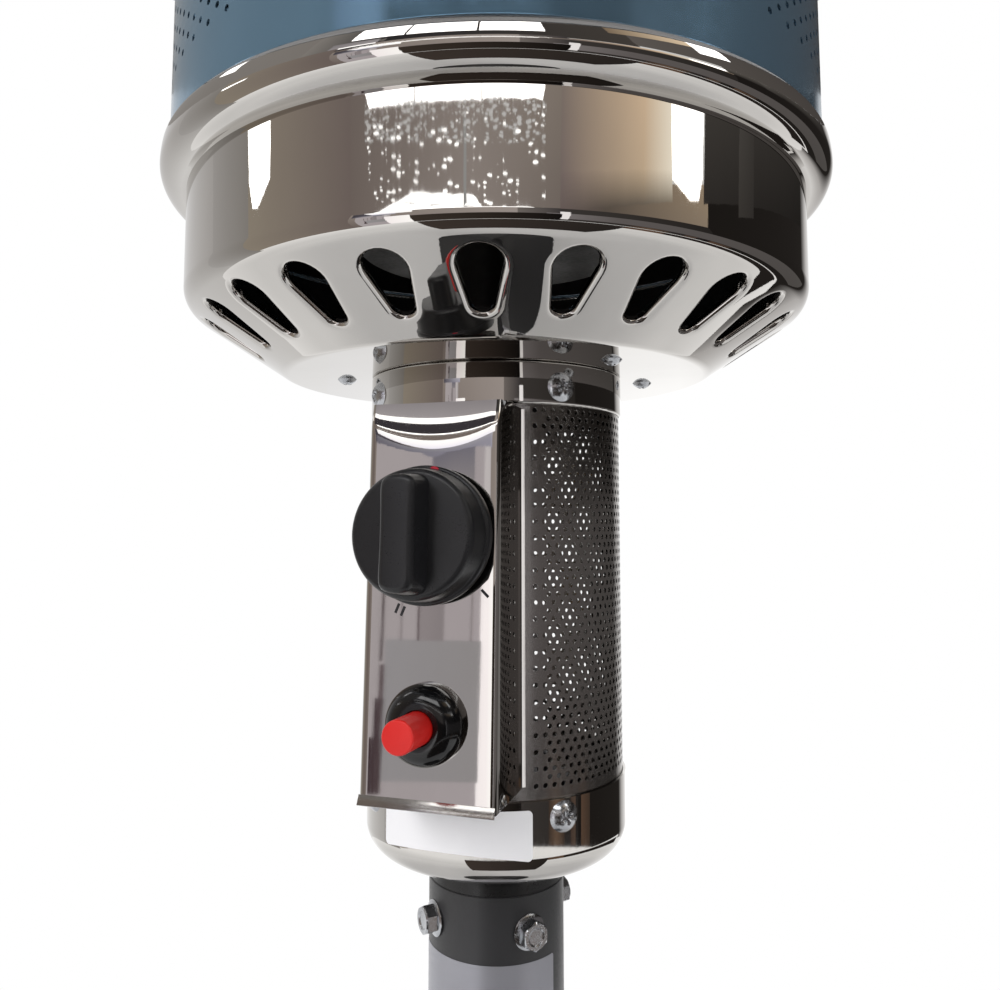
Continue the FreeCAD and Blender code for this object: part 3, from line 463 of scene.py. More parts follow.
def makeCup(s):
    base, rim, floor, out = levels["cupFloor"], levels["rimCentre"], s["floorRadius"], s["wallRadius"]
    slope = math.atan2(s["coneRise"], out - floor)
    cosine, sine = math.cos(slope), math.sin(slope)
    (low, high), (ends, sides), sheet = s["band"], s["slotPoints"], s["sheet"]
    half = math.pi / s["slots"]

    def spot(up, across, depth):
        # a point of the cone: up its slope, across it and into the cup
        r = floor + up * cosine
        return atPost(across / r, r - depth * sine, base + up * sine + depth * cosine)

    first, last = [(r - floor) / cosine for r in (s["slotInner"], s["slotOuter"])]
    hole, normals = teardropOutline(s["narrow"], s["wide"], last - first, first, ends, sides)
    edges = sectorEdges(low, high, lambda up: half * (floor + up * cosine), ends, sides)
    radius, deep = s["edgeRadius"], s["edgeDepth"]
    bend = lambda r, angles: [(radius - r * math.sin(a), radius - r * math.cos(a)) for a in map(math.radians, angles)]
    lip = bend(radius, range(0, 91, 15)) + [(0, deep), (sheet * 0.5, deep + 0.25), (sheet, deep)]
    lip += bend(radius - sheet, range(90, -1, -30))
    bm = bmesh.new()
    sector = holedSector(spot, hole, normals, edges, 4, lip)
    addCopiesRound(bm, "cupSlots", sector, Matrix(), s["slots"], 0.0, mirrorSteel)

    # the floor and its bend, up to the slotted band; then the corner, the wall and the rolled rim above it
    bottom = roundedPath([(s["throat"], base), (floor, base), (floor + low * cosine, base + low * sine)],
                         [0, s["bendRadius"], 0], 8)
    begin = -90 - math.degrees(math.asin((s["rimCentre"] - out) / s["rimRadius"]))
    angle = math.radians(begin + s["rimStart"])
    curl = [Vector((s["rimCentre"] + s["rimRadius"] * math.cos(angle), rim + s["rimRadius"] * math.sin(angle)))]
    for reached, bendRadius, steps in s["rimArcs"]:
        foot, turn = curl[-1], math.radians(reached) - angle
        angles = [angle + turn * i / steps for i in range(1, steps + 1)]
        curl += [foot + bendRadius * Vector((math.cos(a) - math.cos(angle), math.sin(a) - math.sin(angle)))
                 for a in angles]
        angle += turn
    crease = rim + s["rimRadius"] * math.sin(math.radians(begin))
    wall = roundedPath([(floor + high * cosine, base + high * sine), (out, base + s["coneRise"]), (out, crease - 1.2)],
                       [0, s["cornerRadius"], 0], 12)
    upper = wall + [Vector((out + 0.12, crease - 0.35))] + curl
    segments = s["slots"] * (ends - 1)
    for path in (bottom, upper):
        # open strips: the outside and the inside skins meet the slotted band's edges
        section = sheetSection(path, sheet)
        rings = [[bm.verts.new(atPost(2 * math.pi * i / segments, *p)) for p in section] for i in range(segments)]
        bridge(bm, rings + rings[:1], [len(path) - 1 if path is bottom else len(section) - 1])

    # faces inside the cup, below the rim: they get the raw steel darkened as painted shade
    def inside(at, normal):
        facingIn = normal.z > 0.4 or at.x * normal.x + at.y * normal.y < -0.5 * at.xy.length
        return facingIn and at.z < base + s["coneRise"] + 30

    newPiece("burnerCup", bm, mirrorSteel, slot="polished_steel", instead=["burner_cup"], sharp=48,
             second=(shadedRawSteel, inside))


makeCup(cupSettings)
print("burner cup made")


reflectorSettings = {
    "sheet": 0.8, "radius": 406.48, "middle": 235.0, "flat": 75.0, "drops": (34.0, 74.0, 83.0), "hub": 66.0,
    "studs": 3, "studRing": 52.0, "studHole": 3.1, "holeSides": 32, "hem": 5.5, "segments": 240,
}


def makeReflector(s):
    # a spun dish: flat hub with holes for the studs, two shallow cones, a turned-down edge and a closed hem
    top, rim, fold = levels["reflectorTop"], s["radius"], s["sheet"] + 0.15
    foot = top - s["drops"][2]
    path = roundedPath([(s["hub"], top), (s["flat"], top), (s["middle"], top - s["drops"][0]),
                        (rim, top - s["drops"][1]), (rim, foot + fold)], [0, 20, 40, 3, 0], 8)
    path += [Vector((rim - fold + fold * math.cos(a), foot + fold + fold * math.sin(a)))
             for a in [math.radians(x) for x in range(-30, -181, -30)]]
    path.append(Vector((rim - 2 * fold, foot + s["hem"])))
    bm = bmesh.new()
    spin(bm, sheetSection(path[::-1], s["sheet"]), s["segments"])
    atHub = lambda v: abs(v.co.xy.length - s["hub"] * mm) < 1e-6
    bmesh.ops.delete(bm, geom=[f for f in bm.faces if all(atHub(v) for v in f.verts)], context="FACES_ONLY")
    skins = []
    for height in (top * mm, (top - s["sheet"]) * mm):
        edges = [e for e in bm.edges if all(atHub(v) and abs(v.co.z - height) < 1e-6 for v in e.verts)]
        skins.append([])
        for k in range(s["studs"]):
            a = 2 * math.pi * k / s["studs"]
            x, y = s["studRing"] * math.sin(a), s["studRing"] * math.cos(a)
            turns = [2 * math.pi * i / s["holeSides"] for i in range(s["holeSides"])]
            hole = [(x + s["studHole"] * math.cos(t), y + s["studHole"] * math.sin(t)) for t in turns]
            ring = [bm.verts.new((u * mm, v * mm, height)) for u, v in hole]
            edges += [bm.edges.new((ring[i - 1], ring[i])) for i in range(len(ring))]
            skins[-1].append(ring)
        bmesh.ops.triangle_fill(bm, use_beauty=True, use_dissolve=False, edges=edges)
    for walls in zip(*skins):
        bridge(bm, walls)
    newPiece("reflectorDish", bm, spunAluminium, slot="reflector_aluminium", instead=["reflector"])


makeReflector(reflectorSettings)
print("reflector made")


def perforationCell(width, height, radius, sheet, corners):
    # one rectangle of sheet with a round hole of 6 or 8 corners; shifted rows meet it at the middles of its edges
    bm = bmesh.new()
    w, h = width / 2, height / 2
    rim, first = [(w, h), (0, h), (-w, h), (-w, -h), (0, -h), (w, -h)], math.pi / 6
    if corners == 8:
        rim, first = [(w, 0), (w, h), (0, h), (-w, h), (-w, 0), (-w, -h), (0, -h), (w, -h)], 0.0
    angles = [first + 2 * math.pi * i / corners for i in range(corners)]
    hole = [(radius * math.cos(a), radius * math.sin(a)) for a in angles]
    (front, frontHole), (back, backHole) = [[[bm.verts.new((x, depth, z)) for x, z in loop] for loop in (rim, hole)]
                                            for depth in (0.0, sheet)]
    bridge(bm, [frontHole, front])
    bridge(bm, [back, backHole])
    bridge(bm, [frontHole, backHole])
    return bm


def plainSheet(rectangles, sheet, openSides):
    # flat margins of a perforated sheet, cut into steps that meet the cells
    bm = bmesh.new()
    for x0, x1, z0, z1, step in rectangles:
        pieces = max(1, round((x1 - x0) / step))
        for i in range(pieces):
            a, b = [x0 + (x1 - x0) * k / pieces for k in (i, i + 1)]
            for depth, order in ((0.0, 1), (sheet, -1)):
                corners = [(a, depth, z0), (b, depth, z0), (b, depth, z1), (a, depth, z1)]
                bm.faces.new([bm.verts.new(c) for c in corners[::order]])
    bmesh.ops.remove_doubles(bm, verts=bm.verts, dist=1e-7)
    # walls along the sheet's own edges
    for edge in [e for e in bm.edges if len(e.link_faces) == 1 and e.verts[0].co.y < sheet / 2]:
        a, b = [v.co for v in edge.verts]
        if any(max(abs(getattr(p, axis) - value) for p in (a, b)) < 1e-6 for axis, value in openSides(a, b)):
            bm.faces.new([bm.verts.new(c) for c in (a, (a.x, sheet, a.z), (b.x, sheet, b.z), b)])
    return bm


def perforationTree():
    # lays staggered rows of cells on a flat strip, adds the margins and bends all of it to a cylinder
    tree, ids, given = newTree("perforatedSheet", (
        ("Cell", "Object", None), ("Margins", "Object", None), ("Columns", "Int", 10), ("Rows", "Int", 10),
        ("Column Pitch", "Float", 0.004), ("Row Pitch", "Float", 0.003), ("Radius", "Float", 0.05),
        ("Start Across", "Float", 0.0), ("Start Height", "Float", 0.0), ("Plain Row Ends", "Int", 0),
        ("Material", "Material", None)))
    here = addNode(tree, "SeparateXYZ", {0: addNode(tree, "GeometryNodeInputPosition")}).outputs
    known = dict(given.items()) | {"index": addNode(tree, "GeometryNodeInputIndex"), "x": here["X"], "y": here["Y"]}
    for result, operation, *parts in (
            # which row and column a cell belongs to, from its index, and where it lies
            ("middle", "ADD", "index", 0.5), ("share", "DIVIDE", "middle", "Columns"), ("row", "FLOOR", "share"),
            ("passed", "MULTIPLY", "row", "Columns"), ("column", "SUBTRACT", "index", "passed"),
            ("odd", "MODULO", "row", 2.0), ("shifted", "MULTIPLY_ADD", "odd", 0.5, "column"),
            ("across", "MULTIPLY_ADD", "shifted", "Column Pitch", "Start Across"),
            ("up", "MULTIPLY_ADD", "row", "Row Pitch", "Start Height"), ("count", "MULTIPLY", "Columns", "Rows"),
            # shifted rows leave their first cell and their last two to the margins, where the sheet has ends
            ("last", "SUBTRACT", "Columns", 2.5), ("tooFar", "GREATER_THAN", "column", "last"),
            ("tooNear", "LESS_THAN", "column", 0.5), ("atEnds", "MAXIMUM", "tooFar", "tooNear"),
            ("oddEnds", "MULTIPLY", "odd", "Plain Row Ends"), ("dropped", "MULTIPLY", "oddEnds", "atEnds"),
            # the flat strip wrapped round the post's axis: across becomes an angle, depth goes inwards
            ("angle", "DIVIDE", "x", "Radius"), ("reach", "SUBTRACT", "Radius", "y"), ("sine", "SINE", "angle"),
            ("cosine", "COSINE", "angle"), ("bentX", "MULTIPLY", "reach", "sine"),
            ("front", "MULTIPLY", "reach", "cosine"), ("bentY", "MULTIPLY", "front", -1.0)):
        known[result] = addNode(tree, "Math", {i: known.get(p, p) for i, p in enumerate(parts)}, operation=operation)
    points = addNode(tree, "GeometryNodePoints", {"Count": known["count"]})
    spots = addNode(tree, "CombineXYZ", {"X": known["across"], "Z": known["up"]})
    placed = addNode(tree, "GeometryNodeSetPosition", {"Geometry": points, "Position": spots})
    wanted = addNode(tree, "FunctionNodeCompare", {"A": known["dropped"], "B": 0.5}, data_type="FLOAT",
                     operation="LESS_THAN")
    cell, margins = [addNode(tree, "GeometryNodeObjectInfo", {"Object": given[part]}).outputs["Geometry"]
                     for part in ("Cell", "Margins")]
    cells = addNode(tree, "GeometryNodeInstanceOnPoints", {"Points": placed, "Selection": wanted, "Instance": cell})
    real = addNode(tree, "GeometryNodeRealizeInstances", {"Geometry": cells})
    joined = addNode(tree, "GeometryNodeJoinGeometry", {0: real})
    tree.links.new(margins, joined.inputs[0])
    bent = addNode(tree, "CombineXYZ", {"X": known["bentX"], "Y": known["bentY"], "Z": here["Z"]})
    wrapped = addNode(tree, "GeometryNodeSetPosition", {"Geometry": joined, "Position": bent})
    welded = addNode(tree, "GeometryNodeMergeByDistance", {"Geometry": wrapped, "Distance": 2e-6})
    endTree(tree, welded, given["Material"])
    return tree, ids


perforated = perforationTree()


def perforatedPiece(name, s, corners, margins, openSides, numbers, material, **where):
    # numbers: column pitch, start across and whether the shifted rows end plain, lengths in metres
    sheet, radius, up = s["sheet"] * mm, s["radius"] * mm, s["rowPitch"] * mm
    across, start, plainEnds = numbers
    values = {"Columns": s["columns"], "Rows": s["rows"], "Column Pitch": across, "Row Pitch": up, "Radius": radius,
              "Start Across": start, "Start Height": s["firstRow"] * mm, "Plain Row Ends": plainEnds,
              "Material": material,
              "Cell": meshObject(name + "Cell", perforationCell(across, up, s["hole"] * mm, sheet, corners)),
              "Margins": meshObject(name + "Margins", plainSheet(margins, sheet, openSides))}
    bm = bmesh.new()
    mergeMesh(bm, runTree(name, *perforated, values))
    newPiece(name, bm, material, sharp=40, **where)


shroudSettings = {
    "radius": 54.0, "sheet": 0.7, "hole": 1.06, "firstAzimuth": 33.5, "columns": 74, "rowPitch": 3.075, "rows": 47,
    "firstRow": 1671.6, "window": 22.2, "tuck": 8.0,
}


def makeShroud(s):
    radius, up, foot, tuck = s["radius"] * mm, s["rowPitch"] * mm, s["firstRow"] * mm, s["tuck"]
    first = math.radians(s["firstAzimuth"]) * radius
    end = 2 * math.pi * radius
    across = (end - 2 * first) / (s["columns"] - 1)
    low, high = (levels["bellRim"] - tuck) * mm, (levels["collarFoot"] + tuck) * mm
    window = math.asin(s["window"] / s["radius"]) * radius
    windowLow, windowHigh = (levels["bellRim"] + 1) * mm, (levels["collarFoot"] - 1) * mm
    cellsLow, cellsHigh = foot - up / 2, foot + up * (s["rows"] - 0.5)
    left, right, step = first - across / 2, end - first + across / 2, across / 2
    # between the cells' field and the window: one strip for each row, and for the bands above and below the field
    bands = [(cellsLow + up * row, cellsLow + up * (row + 1)) for row in range(s["rows"])]
    plain = [(low, windowLow), (windowLow, cellsLow), (cellsHigh, windowHigh), (windowHigh, high)]
    margins = [(left, right, z0, z1, step) for z0, z1 in plain]
    for z0, z1 in bands[1::2]:
        margins += [(left, left + 1.5 * across, z0, z1, step), (right - 1.5 * across, right, z0, z1, step)]
    for z0, z1 in bands + plain:
        margins += [(window, left, z0, z1, 1), (right, end - window, z0, z1, 1)]
    margins += [(-window, window, z0, z1, across) for z0, z1 in ((low, windowLow), (windowHigh, high))]

    def openSides(a, b):
        sides = [("z", low), ("z", high)]
        if min(a.z, b.z) > windowLow - 1e-6 and max(a.z, b.z) < windowHigh + 1e-6:
            sides += [("x", window), ("x", end - window)]
            if max(a.x, b.x) < window + 1e-6:
                sides += [("z", windowLow), ("z", windowHigh)]
        return sides

    perforatedPiece("perforatedShroud", s, 8, margins, openSides, (across, first, 1), punchedSteel,
                    slot="black_paint", instead=["shroud"])


screenSettings = {"radius": 140.0, "sheet": 0.8, "hole": 1.35, "columns": 70, "rowPitch": 3.85, "rows": 66,
                  "firstRow": 1943.0}


def makeScreen(s):
    radius, up, foot = s["radius"] * mm, s["rowPitch"] * mm, s["firstRow"] * mm
    end = 2 * math.pi * radius
    across = end / s["columns"]
    low, high = levels["screenFoot"] * mm, levels["screenTop"] * mm
    margins = [(0, end, low, foot - up / 2, across / 2), (0, end, foot + up * (s["rows"] - 0.5), high, across / 2)]
    # the screen's inner side gets the raw steel darkened as painted shade
    facingIn = lambda at, normal: at.x * normal.x + at.y * normal.y < -0.5 * s["radius"]
    perforatedPiece("emitterScreen", s, 6, margins, lambda a, b: [("z", low), ("z", high)], (across, across / 2, 0),
                    filmedSteel, slot="filmed_steel", instead=["emitter_screen"], second=(shadedRawSteel, facingIn))


makeShroud(shroudSettings)
makeScreen(screenSettings)
print("perforated sheets made")


# seat and flangeSeat: radii round the post on which the sides and the flanges stand
panelSettings = {"width": 50.4, "sheet": 1.0, "fold": 1.7, "lip": 3.0, "lipTurn": 26.0, "lipOut": 1.5, "flange": 1.3,
                 "dishHeight": 18.6, "dishTurn": 12.0, "dishCurve": 0.7, "seat": 54.05, "flangeSeat": 54.55,
                 "across": 28}


def panelDish(s, x, z):
    # how far the sheet is drawn back near its top edge, in a crescent that is deepest in the middle
    height = s["dishHeight"] * (1 - 0.45 * (2 * x / s["width"]) ** 2)
    up = max(z - levels["panelTop"] + height, 0) / height
    return math.tan(math.radians(s["dishTurn"])) * height / (s["dishCurve"] + 1) * up ** (s["dishCurve"] + 1)


def makePanel(s):
    bm = bmesh.new()
    half, fold, sheet, across, seat = s["width"] / 2, s["fold"], s["sheet"], s["across"], s["seat"]
    side = math.sqrt(seat ** 2 - half ** 2)

    def section(z):
        # the outside and the inside: from the shroud, round one fold, across the front, round the other and back
        depth, loops = panelDepth(z), []
        for inset, bend, back in ((0.0, fold, side), (sheet, fold - sheet, side + 0.3)):
            x, front = half - inset, inset - depth
            path = roundedPath([(-x, -back), (-x, front), (x, front), (x, -back)], [0, bend, bend, 0], 6)
            path[8:8] = [path[7].lerp(path[8], i / across) for i in range(1, across)]
            drawn = [panelDish(s, p.x, z) if p.y < 1 - depth + fold else 0 for p in path]
            loops.append([Vector((p.x, p.y + drop, z)) for p, drop in zip(path, drawn)])
        return loops

    foot, top, dish = levels["panelFoot"], levels["panelTop"], s["dishHeight"]
    stations = [foot, foot + 0.4, foot + 60] + [top - dish + dish * i / 16 for i in range(16)] + [top - 0.3, top]
    rows = [[bm.verts.new(p * mm) for p in outer + inner[::-1]] for outer, inner in map(section, stations)]
    bridge(bm, rows)
    for row in (rows[0], rows[-1]):
        for j in range(len(row) // 2 - 1):
            bm.faces.new((row[j], row[j + 1], row[-2 - j], row[-1 - j]))
    # end plates that close the box against the shroud, at the top and the foot
    end = math.asin((half - sheet - fold + 0.5) / seat)
    arc = [(seat * math.sin(a), -seat * math.cos(a)) for a in [end * (1 - 2 * i / 10) for i in range(11)]]
    for z, inward in ((foot, sheet), (top, -sheet)):
        plate = [(p.x, p.y + 0.05) for p in section(z)[1][8:7 + across]] + arc
        bridge(bm, [[bm.verts.new((x * mm, y * mm, height * mm)) for x, y in plate] for height in (z, z + inward)],
               caps=True)
    newPiece("controlPanel", bm, buffedSteel, slot="polished_steel", instead=["control_panel"], sharp=48)


def makePanelLip(s):
    # the foot's edge, folded out under the front, and the flanges that lie on the shroud at both sides
    bm = bmesh.new()
    half, foot, top = s["width"] / 2, levels["panelFoot"], levels["panelTop"]
    profile = [(0.0, 0.0), (s["sheet"], 0.0), (s["sheet"], s["lip"] + 0.4), (0.0, s["lip"] + 0.7)]
    place = (Matrix.Translation((0, -(panelDepth(foot) + s["lipOut"]) * mm, (foot - 0.3) * mm))
             @ Matrix.Rotation(math.radians(-s["lipTurn"]), 4, "X"))
    bridge(bm, [[bm.verts.new(place @ Vector((x * mm, y * mm, z * mm))) for y, z in profile] for x in (-half, half)],
           caps=True)
    bmesh.ops.recalc_face_normals(bm, faces=bm.faces)
    bmesh.ops.bevel(bm, geom=bm.edges[:], offset=0.12 * mm, segments=2, profile=0.5, affect="EDGES")
    newPiece("panelLip", bm, punchedSteel, slot="polished_steel", sharp=40)
    bm = bmesh.new()
    angle = math.asin((half + 0.5) / (s["flangeSeat"] - 0.15))
    for side in (-angle, angle):
        place = Matrix.Rotation(side, 4, "Z") @ Matrix.Translation((0, -s["flangeSeat"] * mm, (foot + top) / 2 * mm))
        addBox(bm, place, (s["flange"], 1.0, top - foot - 1))
    newPiece("panelFlanges", bm, buffedSteel, slot="polished_steel", sharp=40)


makePanel(panelSettings)
makePanelLip(panelSettings)
print("control panel made")


knobSettings = {"gap": 4.0, "skirt": 24.5, "skirtHeight": 4.0, "radius": 22.3, "draft": 0.9, "face": 19.0,
                "shoulder": 2.4, "gripTop": 31.5, "gripWaist": 5.8, "gripEnd": 6.2, "gripReach": 19.3, "gripEdge": 2.2,
                "gripDraft": 0.06, "gripSteps": 26, "segments": 128}


def makeKnob(s):
    bm = bmesh.new()
    mid, face, edge, top, steps = s["gap"] + s["skirtHeight"], s["face"], s["gripEdge"], s["gripTop"], s["gripSteps"]
    outline = [(0, s["gap"]), (s["skirt"], s["gap"]), (s["skirt"], mid - 0.2), (s["radius"] + s["draft"], mid),
               (s["radius"], face), (0, face + 0.3)]
    spin(bm, roundedPath(outline, [0, 0.5, 1.2, 0.8, s["shoulder"], 0], 6), s["segments"])
    # the grip bar: waisted, its top edges rounded, standing on the face. Layers: height, growth across and along it
    layers = [(face - 1.2, 0.7, 0.6), (face + 0.3, 0.65, 0.5), (face + 0.9, 0.45, 0.3), (top - edge, 0.25, 0.0)]
    layers += [(top - edge + edge * math.sin(a), 0.25 - edge * (1 - math.cos(a)), -edge * (1 - math.cos(a)))
               for a in [math.radians(x) for x in range(15, 91, 15)]]
    rings = []
    for z, grow, growAlong in layers:
        reach = s["gripReach"] + growAlong + (top - z) * s["gripDraft"]
        side = []
        for i in range(steps + 1):
            y = reach * math.sin((2 * i / steps - 1) * math.pi / 2)
            width = s["gripWaist"] + (s["gripEnd"] - s["gripWaist"]) * (y / reach) ** 2 + grow
            # ends are cut round, to the knob's own circle
            width *= math.sqrt(max(1 - (abs(y) / reach) ** 14, 0.0))
            side.append((max(width, 0.02), y))
        loop = side + [(-x, y) for x, y in side[::-1]]
        rings.append([bm.verts.new((x * mm, y * mm, z * mm)) for x, y in loop])
    bridge(bm, rings, caps=True)
    newPiece("knobBody", bm, satinAbs, body="knob", slot="black_plastic", instead=["knob"],
             place=onPanel(levels["knobAxis"]), sharp=38)


makeKnob(knobSettings)


# stem: radius and back end; flange: radius, back and front
igniterSettings = {"radius": 14.1, "edge": 2.2, "height": 9.4, "mouth": 7.0, "bore": 5.9, "thread": 8.7, "button": 5.7,
                   "reach": 25.2, "chamfer": 0.7, "stem": (3.5, -18.0), "flange": (7.4, 2.1, 4.1)}


def makeIgniter(s):
    place, (flange, low, high), (stem, end) = onPanel(levels["igniterAxis"]), s["flange"], s["stem"]
    mouth, radius, bore, edge, top, button = [s[k] for k in ("mouth", "radius", "bore", "edge", "height", "button")]
    dome = [(s["thread"], 0.0), (radius, 0.0)]
    dome += [(mouth + (radius - mouth) * math.cos(a), edge + (top - edge) * math.sin(a))
             for a in [math.radians(x) for x in range(0, 91, 6)]]
    dome += [(bore + 0.3, top), (bore, top - 0.3), (bore, high + 0.2), (s["thread"], high + 0.2)]
    turnedPiece("igniterCollar", [dome], glossAbs, 96, slot="gloss_black", instead=["igniter_bezel"], place=place,
                sharp=40)
    outline = [(0, end), (stem, end), (stem, low), (flange, low), (flange, high), (button, high), (button, s["reach"]),
               (0, s["reach"])]
    turnedPiece("igniterButton", [roundedPath(outline, [0] * 6 + [s["chamfer"], 0], 5)], redPlastic, 64,
                body="igniter_button", slot="red_plastic", instead=["igniter_button"], place=place, sharp=40)


makeIgniter(igniterSettings)

# return springs on the knob's and the button's axis: their ends in mm from the panel's front, and by how much a push
# shortens them
springSettings = {
    "knobSpring": {"axis": "knobAxis", "ends": (-19.7, -12.18), "outside": 5.6, "wire": 1.1, "turns": 4, "push": 3.5,
                   "joint": "knob_push", "body": "valve_plug", "node": "knob_spring"},
    "buttonSpring": {"axis": "igniterAxis", "ends": (-16.0, 2.1), "outside": 6.8, "wire": 1.1, "turns": 7, "push": 7.0,
                     "joint": "button_push", "body": "stand", "node": "button_spring"},
}


def makeSpring(name, s):
    # a round wire wound from one end to the other
    bm = bmesh.new()
    wire, (low, high), around, perTurn = s["wire"] / 2, s["ends"], 10, 32
    middle, steps = s["outside"] - wire, perTurn * s["turns"]
    rings = []
    for i in range(steps + 1):
        a = 2 * math.pi * i / perTurn
        z = low + wire + (high - low - 2 * wire) * i / steps
        ring = [(middle + wire * math.cos(t), z + wire * math.sin(t))
                for t in [2 * math.pi * j / around for j in range(around)]]
        rings.append([bm.verts.new((r * math.cos(a) * mm, r * math.sin(a) * mm, up * mm)) for r, up in ring])
    bridge(bm, rings, caps=True)
    place = onPanel(levels[s["axis"]])
    spring = newPiece(name, bm, zincSteel, body=s["body"], slot="plain_steel", instead=[s["node"]], place=place,
                      sharp=60)
    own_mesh(spring)


for name, settings in springSettings.items():
    makeSpring(name, settings)
print("knob, igniter and springs made")


postSettings = {"radius": 28.5, "wall": 1.5, "foot": 796.0, "edge": 0.35}


def makePost(s):
    outer, inner, foot, top, edge = s["radius"], s["radius"] - s["wall"], s["foot"], levels["postTop"], s["edge"]
    outline = [(inner, foot), (outer, foot), (outer, top - edge), (outer - edge, top), (inner, top)]
    turnedPiece("postTube", [outline], powderCoat, 160, slot="black_paint", instead=["post"])


makePost(postSettings)

# heights: of the bolts at the socket and at the spigot; sink: how far a flange goes into the tube's curve
boltSettings = {"flange": 7.0, "flangeHeight": 1.2, "across": 10.0, "height": 4.6, "azimuth": 45.0, "count": 4,
                "heights": (836.0, levels["postTop"] - 14.0), "sink": 0.12}


def hexBoltShape(s):
    # flange, hexagon head with a turned chamfer and a shallow dish on top
    bm = bmesh.new()
    wide, half, seat, top = s["flange"], s["across"] / 2, s["flangeHeight"], s["flangeHeight"] + s["height"]
    spin(bm, [(0, 0), (wide, 0), (wide, 0.35), (wide - 0.5, 0.7), (half - 0.5, seat), (0, seat)], 32)
    corner = half / math.cos(math.pi / 6)
    rings = []
    for z, limit in ((seat - 0.2, corner), (top - 1.0, corner), (top - 0.55, corner * 0.985), (top, half * 0.97),
                     (top, half * 0.72), (top - 0.45, half * 0.6)):
        ring = []
        for a in [math.radians(x) for x in range(0, 360, 10)]:
            r = min(half / math.cos((a + math.pi / 6) % (math.pi / 3) - math.pi / 6), limit)
            ring.append(bm.verts.new((r * mm * math.cos(a), r * mm * math.sin(a), z * mm)))
        rings.append(ring)
    bridge(bm, rings, caps=True)
    return bm


def makePostBolts(s):
    bm = bmesh.new()
    for height in s["heights"]:
        shape = hexBoltShape(s)
        place = outward(0, postSettings["radius"] - s["sink"], height)
        addCopiesRound(bm, "postBolts", shape, place, s["count"], s["azimuth"], zincSteel)
    newPiece("postBolts", bm, zincSteel, slot="plain_steel", instead=["post_bolts"], sharp=28)


makePostBolts(boltSettings)


# head and pan: radius, height, reach and half width of the recess; pans: azimuths and radii under the cup's floor
screwSettings = {"head": (6.0, 3.2, 2.4, 0.55), "heights": (1660.0, 1822.5), "azimuth": 45.0, "count": 4, "turn": 20.0,
                 "sink": 0.25, "pan": (4.25, 2.4, 1.9, 0.45),
                 "pans": ((-66.5, 66.0), (57.0, 70.0), (110.5, 66.0), (-150.0, 66.0))}


def domeScrewShape(radius, height, cross, width):
    # truss head with a cross recess, seat at 0
    bm = bmesh.new()
    curve, steps, around = (radius * radius + height * height) / (2 * height), 8, 40
    angles = [2 * math.pi * j / around for j in range(around)]
    rings = [[bm.verts.new((radius * mm * math.cos(a), radius * mm * math.sin(a), -0.3 * mm)) for a in angles]]
    for i in range(steps):
        r = radius * (1 - i / steps)
        ring = []
        for x, y in [(r * math.cos(a), r * math.sin(a)) for a in angles]:
            z = math.sqrt(curve * curve - r * r) - (curve - height)
            near, far = sorted((abs(x), abs(y)))
            if near < width and far < cross:
                z -= 1.1 * (1 - far / cross) + 0.35
            ring.append(bm.verts.new((x * mm, y * mm, z * mm)))
        rings.append(ring)
    bridge(bm, rings)
    bm.faces.new(rings[0][::-1])
    tip = bm.verts.new((0, 0, (height - 1.45) * mm))
    for j in range(around):
        bm.faces.new((rings[-1][j - 1], rings[-1][j], tip))
    return bm


def makeHeadScrews(s):
    bm = bmesh.new()
    for height in s["heights"]:
        place = (outward(0, bellSettings["radius"] - s["sink"], height)
                 @ Matrix.Rotation(math.radians(s["turn"]), 4, "Z"))
        addCopiesRound(bm, "headScrews", domeScrewShape(*s["head"]), place, s["count"], s["azimuth"], zincSteel)
    for azimuth, radius in s["pans"]:
        place = Matrix.Translation((0, -radius * mm, levels["cupFloor"] * mm)) @ Matrix.Rotation(math.pi, 4, "X")
        addCopiesRound(bm, "panScrew", domeScrewShape(*s["pan"]), place, 1, azimuth, zincSteel)
    newPiece("headScrews", bm, zincSteel, slot="plain_steel", sharp=35)


makeHeadScrews(screwSettings)
print("post, bolts and screws made")


def wrappedPatch(name, s, radiusAt, material, slot):
    # a thin rounded rectangle that follows a turned surface
    bm = bmesh.new()
    (a0, a1), (z0, z1) = [math.radians(a) for a in s["azimuths"]], s["heights"]
    corner, steps, straight = s["corner"], s["steps"], 8
    rows = [z0 + corner * (1 - math.cos(math.radians(t))) for t in range(0, 90, 15)]
    rows += [z0 + corner + (z1 - z0 - 2 * corner) * i / straight for i in range(straight + 1)]
    rows += [z1 - corner * (1 - math.sin(math.radians(t))) for t in range(15, 91, 15)]
    skins = []
    for depth in (s["thickness"], 0.0):
        skin = []
        for z in rows:
            inset = corner - math.sqrt(max(corner ** 2 - (corner - min(z - z0, z1 - z, corner)) ** 2, 0))
            half = (a1 - a0) / 2 - inset / radiusAt((z0 + z1) / 2)
            ring = []
            for u in [2 * i / steps - 1 for i in range(steps + 1)]:
                height = z + s["bow"] * (1 - u * u) * (z1 - z) / (z1 - z0)
                ring.append(bm.verts.new(atPost((a0 + a1) / 2 + half * u, radiusAt(height) + depth, height)))
            skin.append(ring)
        bridge(bm, skin, [steps])
        skins.append(skin)
    bridge(bm, [[r[0] for r in skin] + skin[-1][1:] + [r[-1] for r in skin[-2::-1]] + skin[0][-2:0:-1]
                for skin in skins])
    newPiece(name, bm, material, slot=slot, sharp=50)


def bellRadius(z):
    # outside of the bell's wall and of the rounded shoulder below it
    radius, curve = bellSettings["radius"], bellSettings["curve"]
    below = max(levels["bellFoot"] + bellSettings["wallRise"] - z, 0)
    return radius - curve + math.sqrt(curve ** 2 - below ** 2) + 0.02


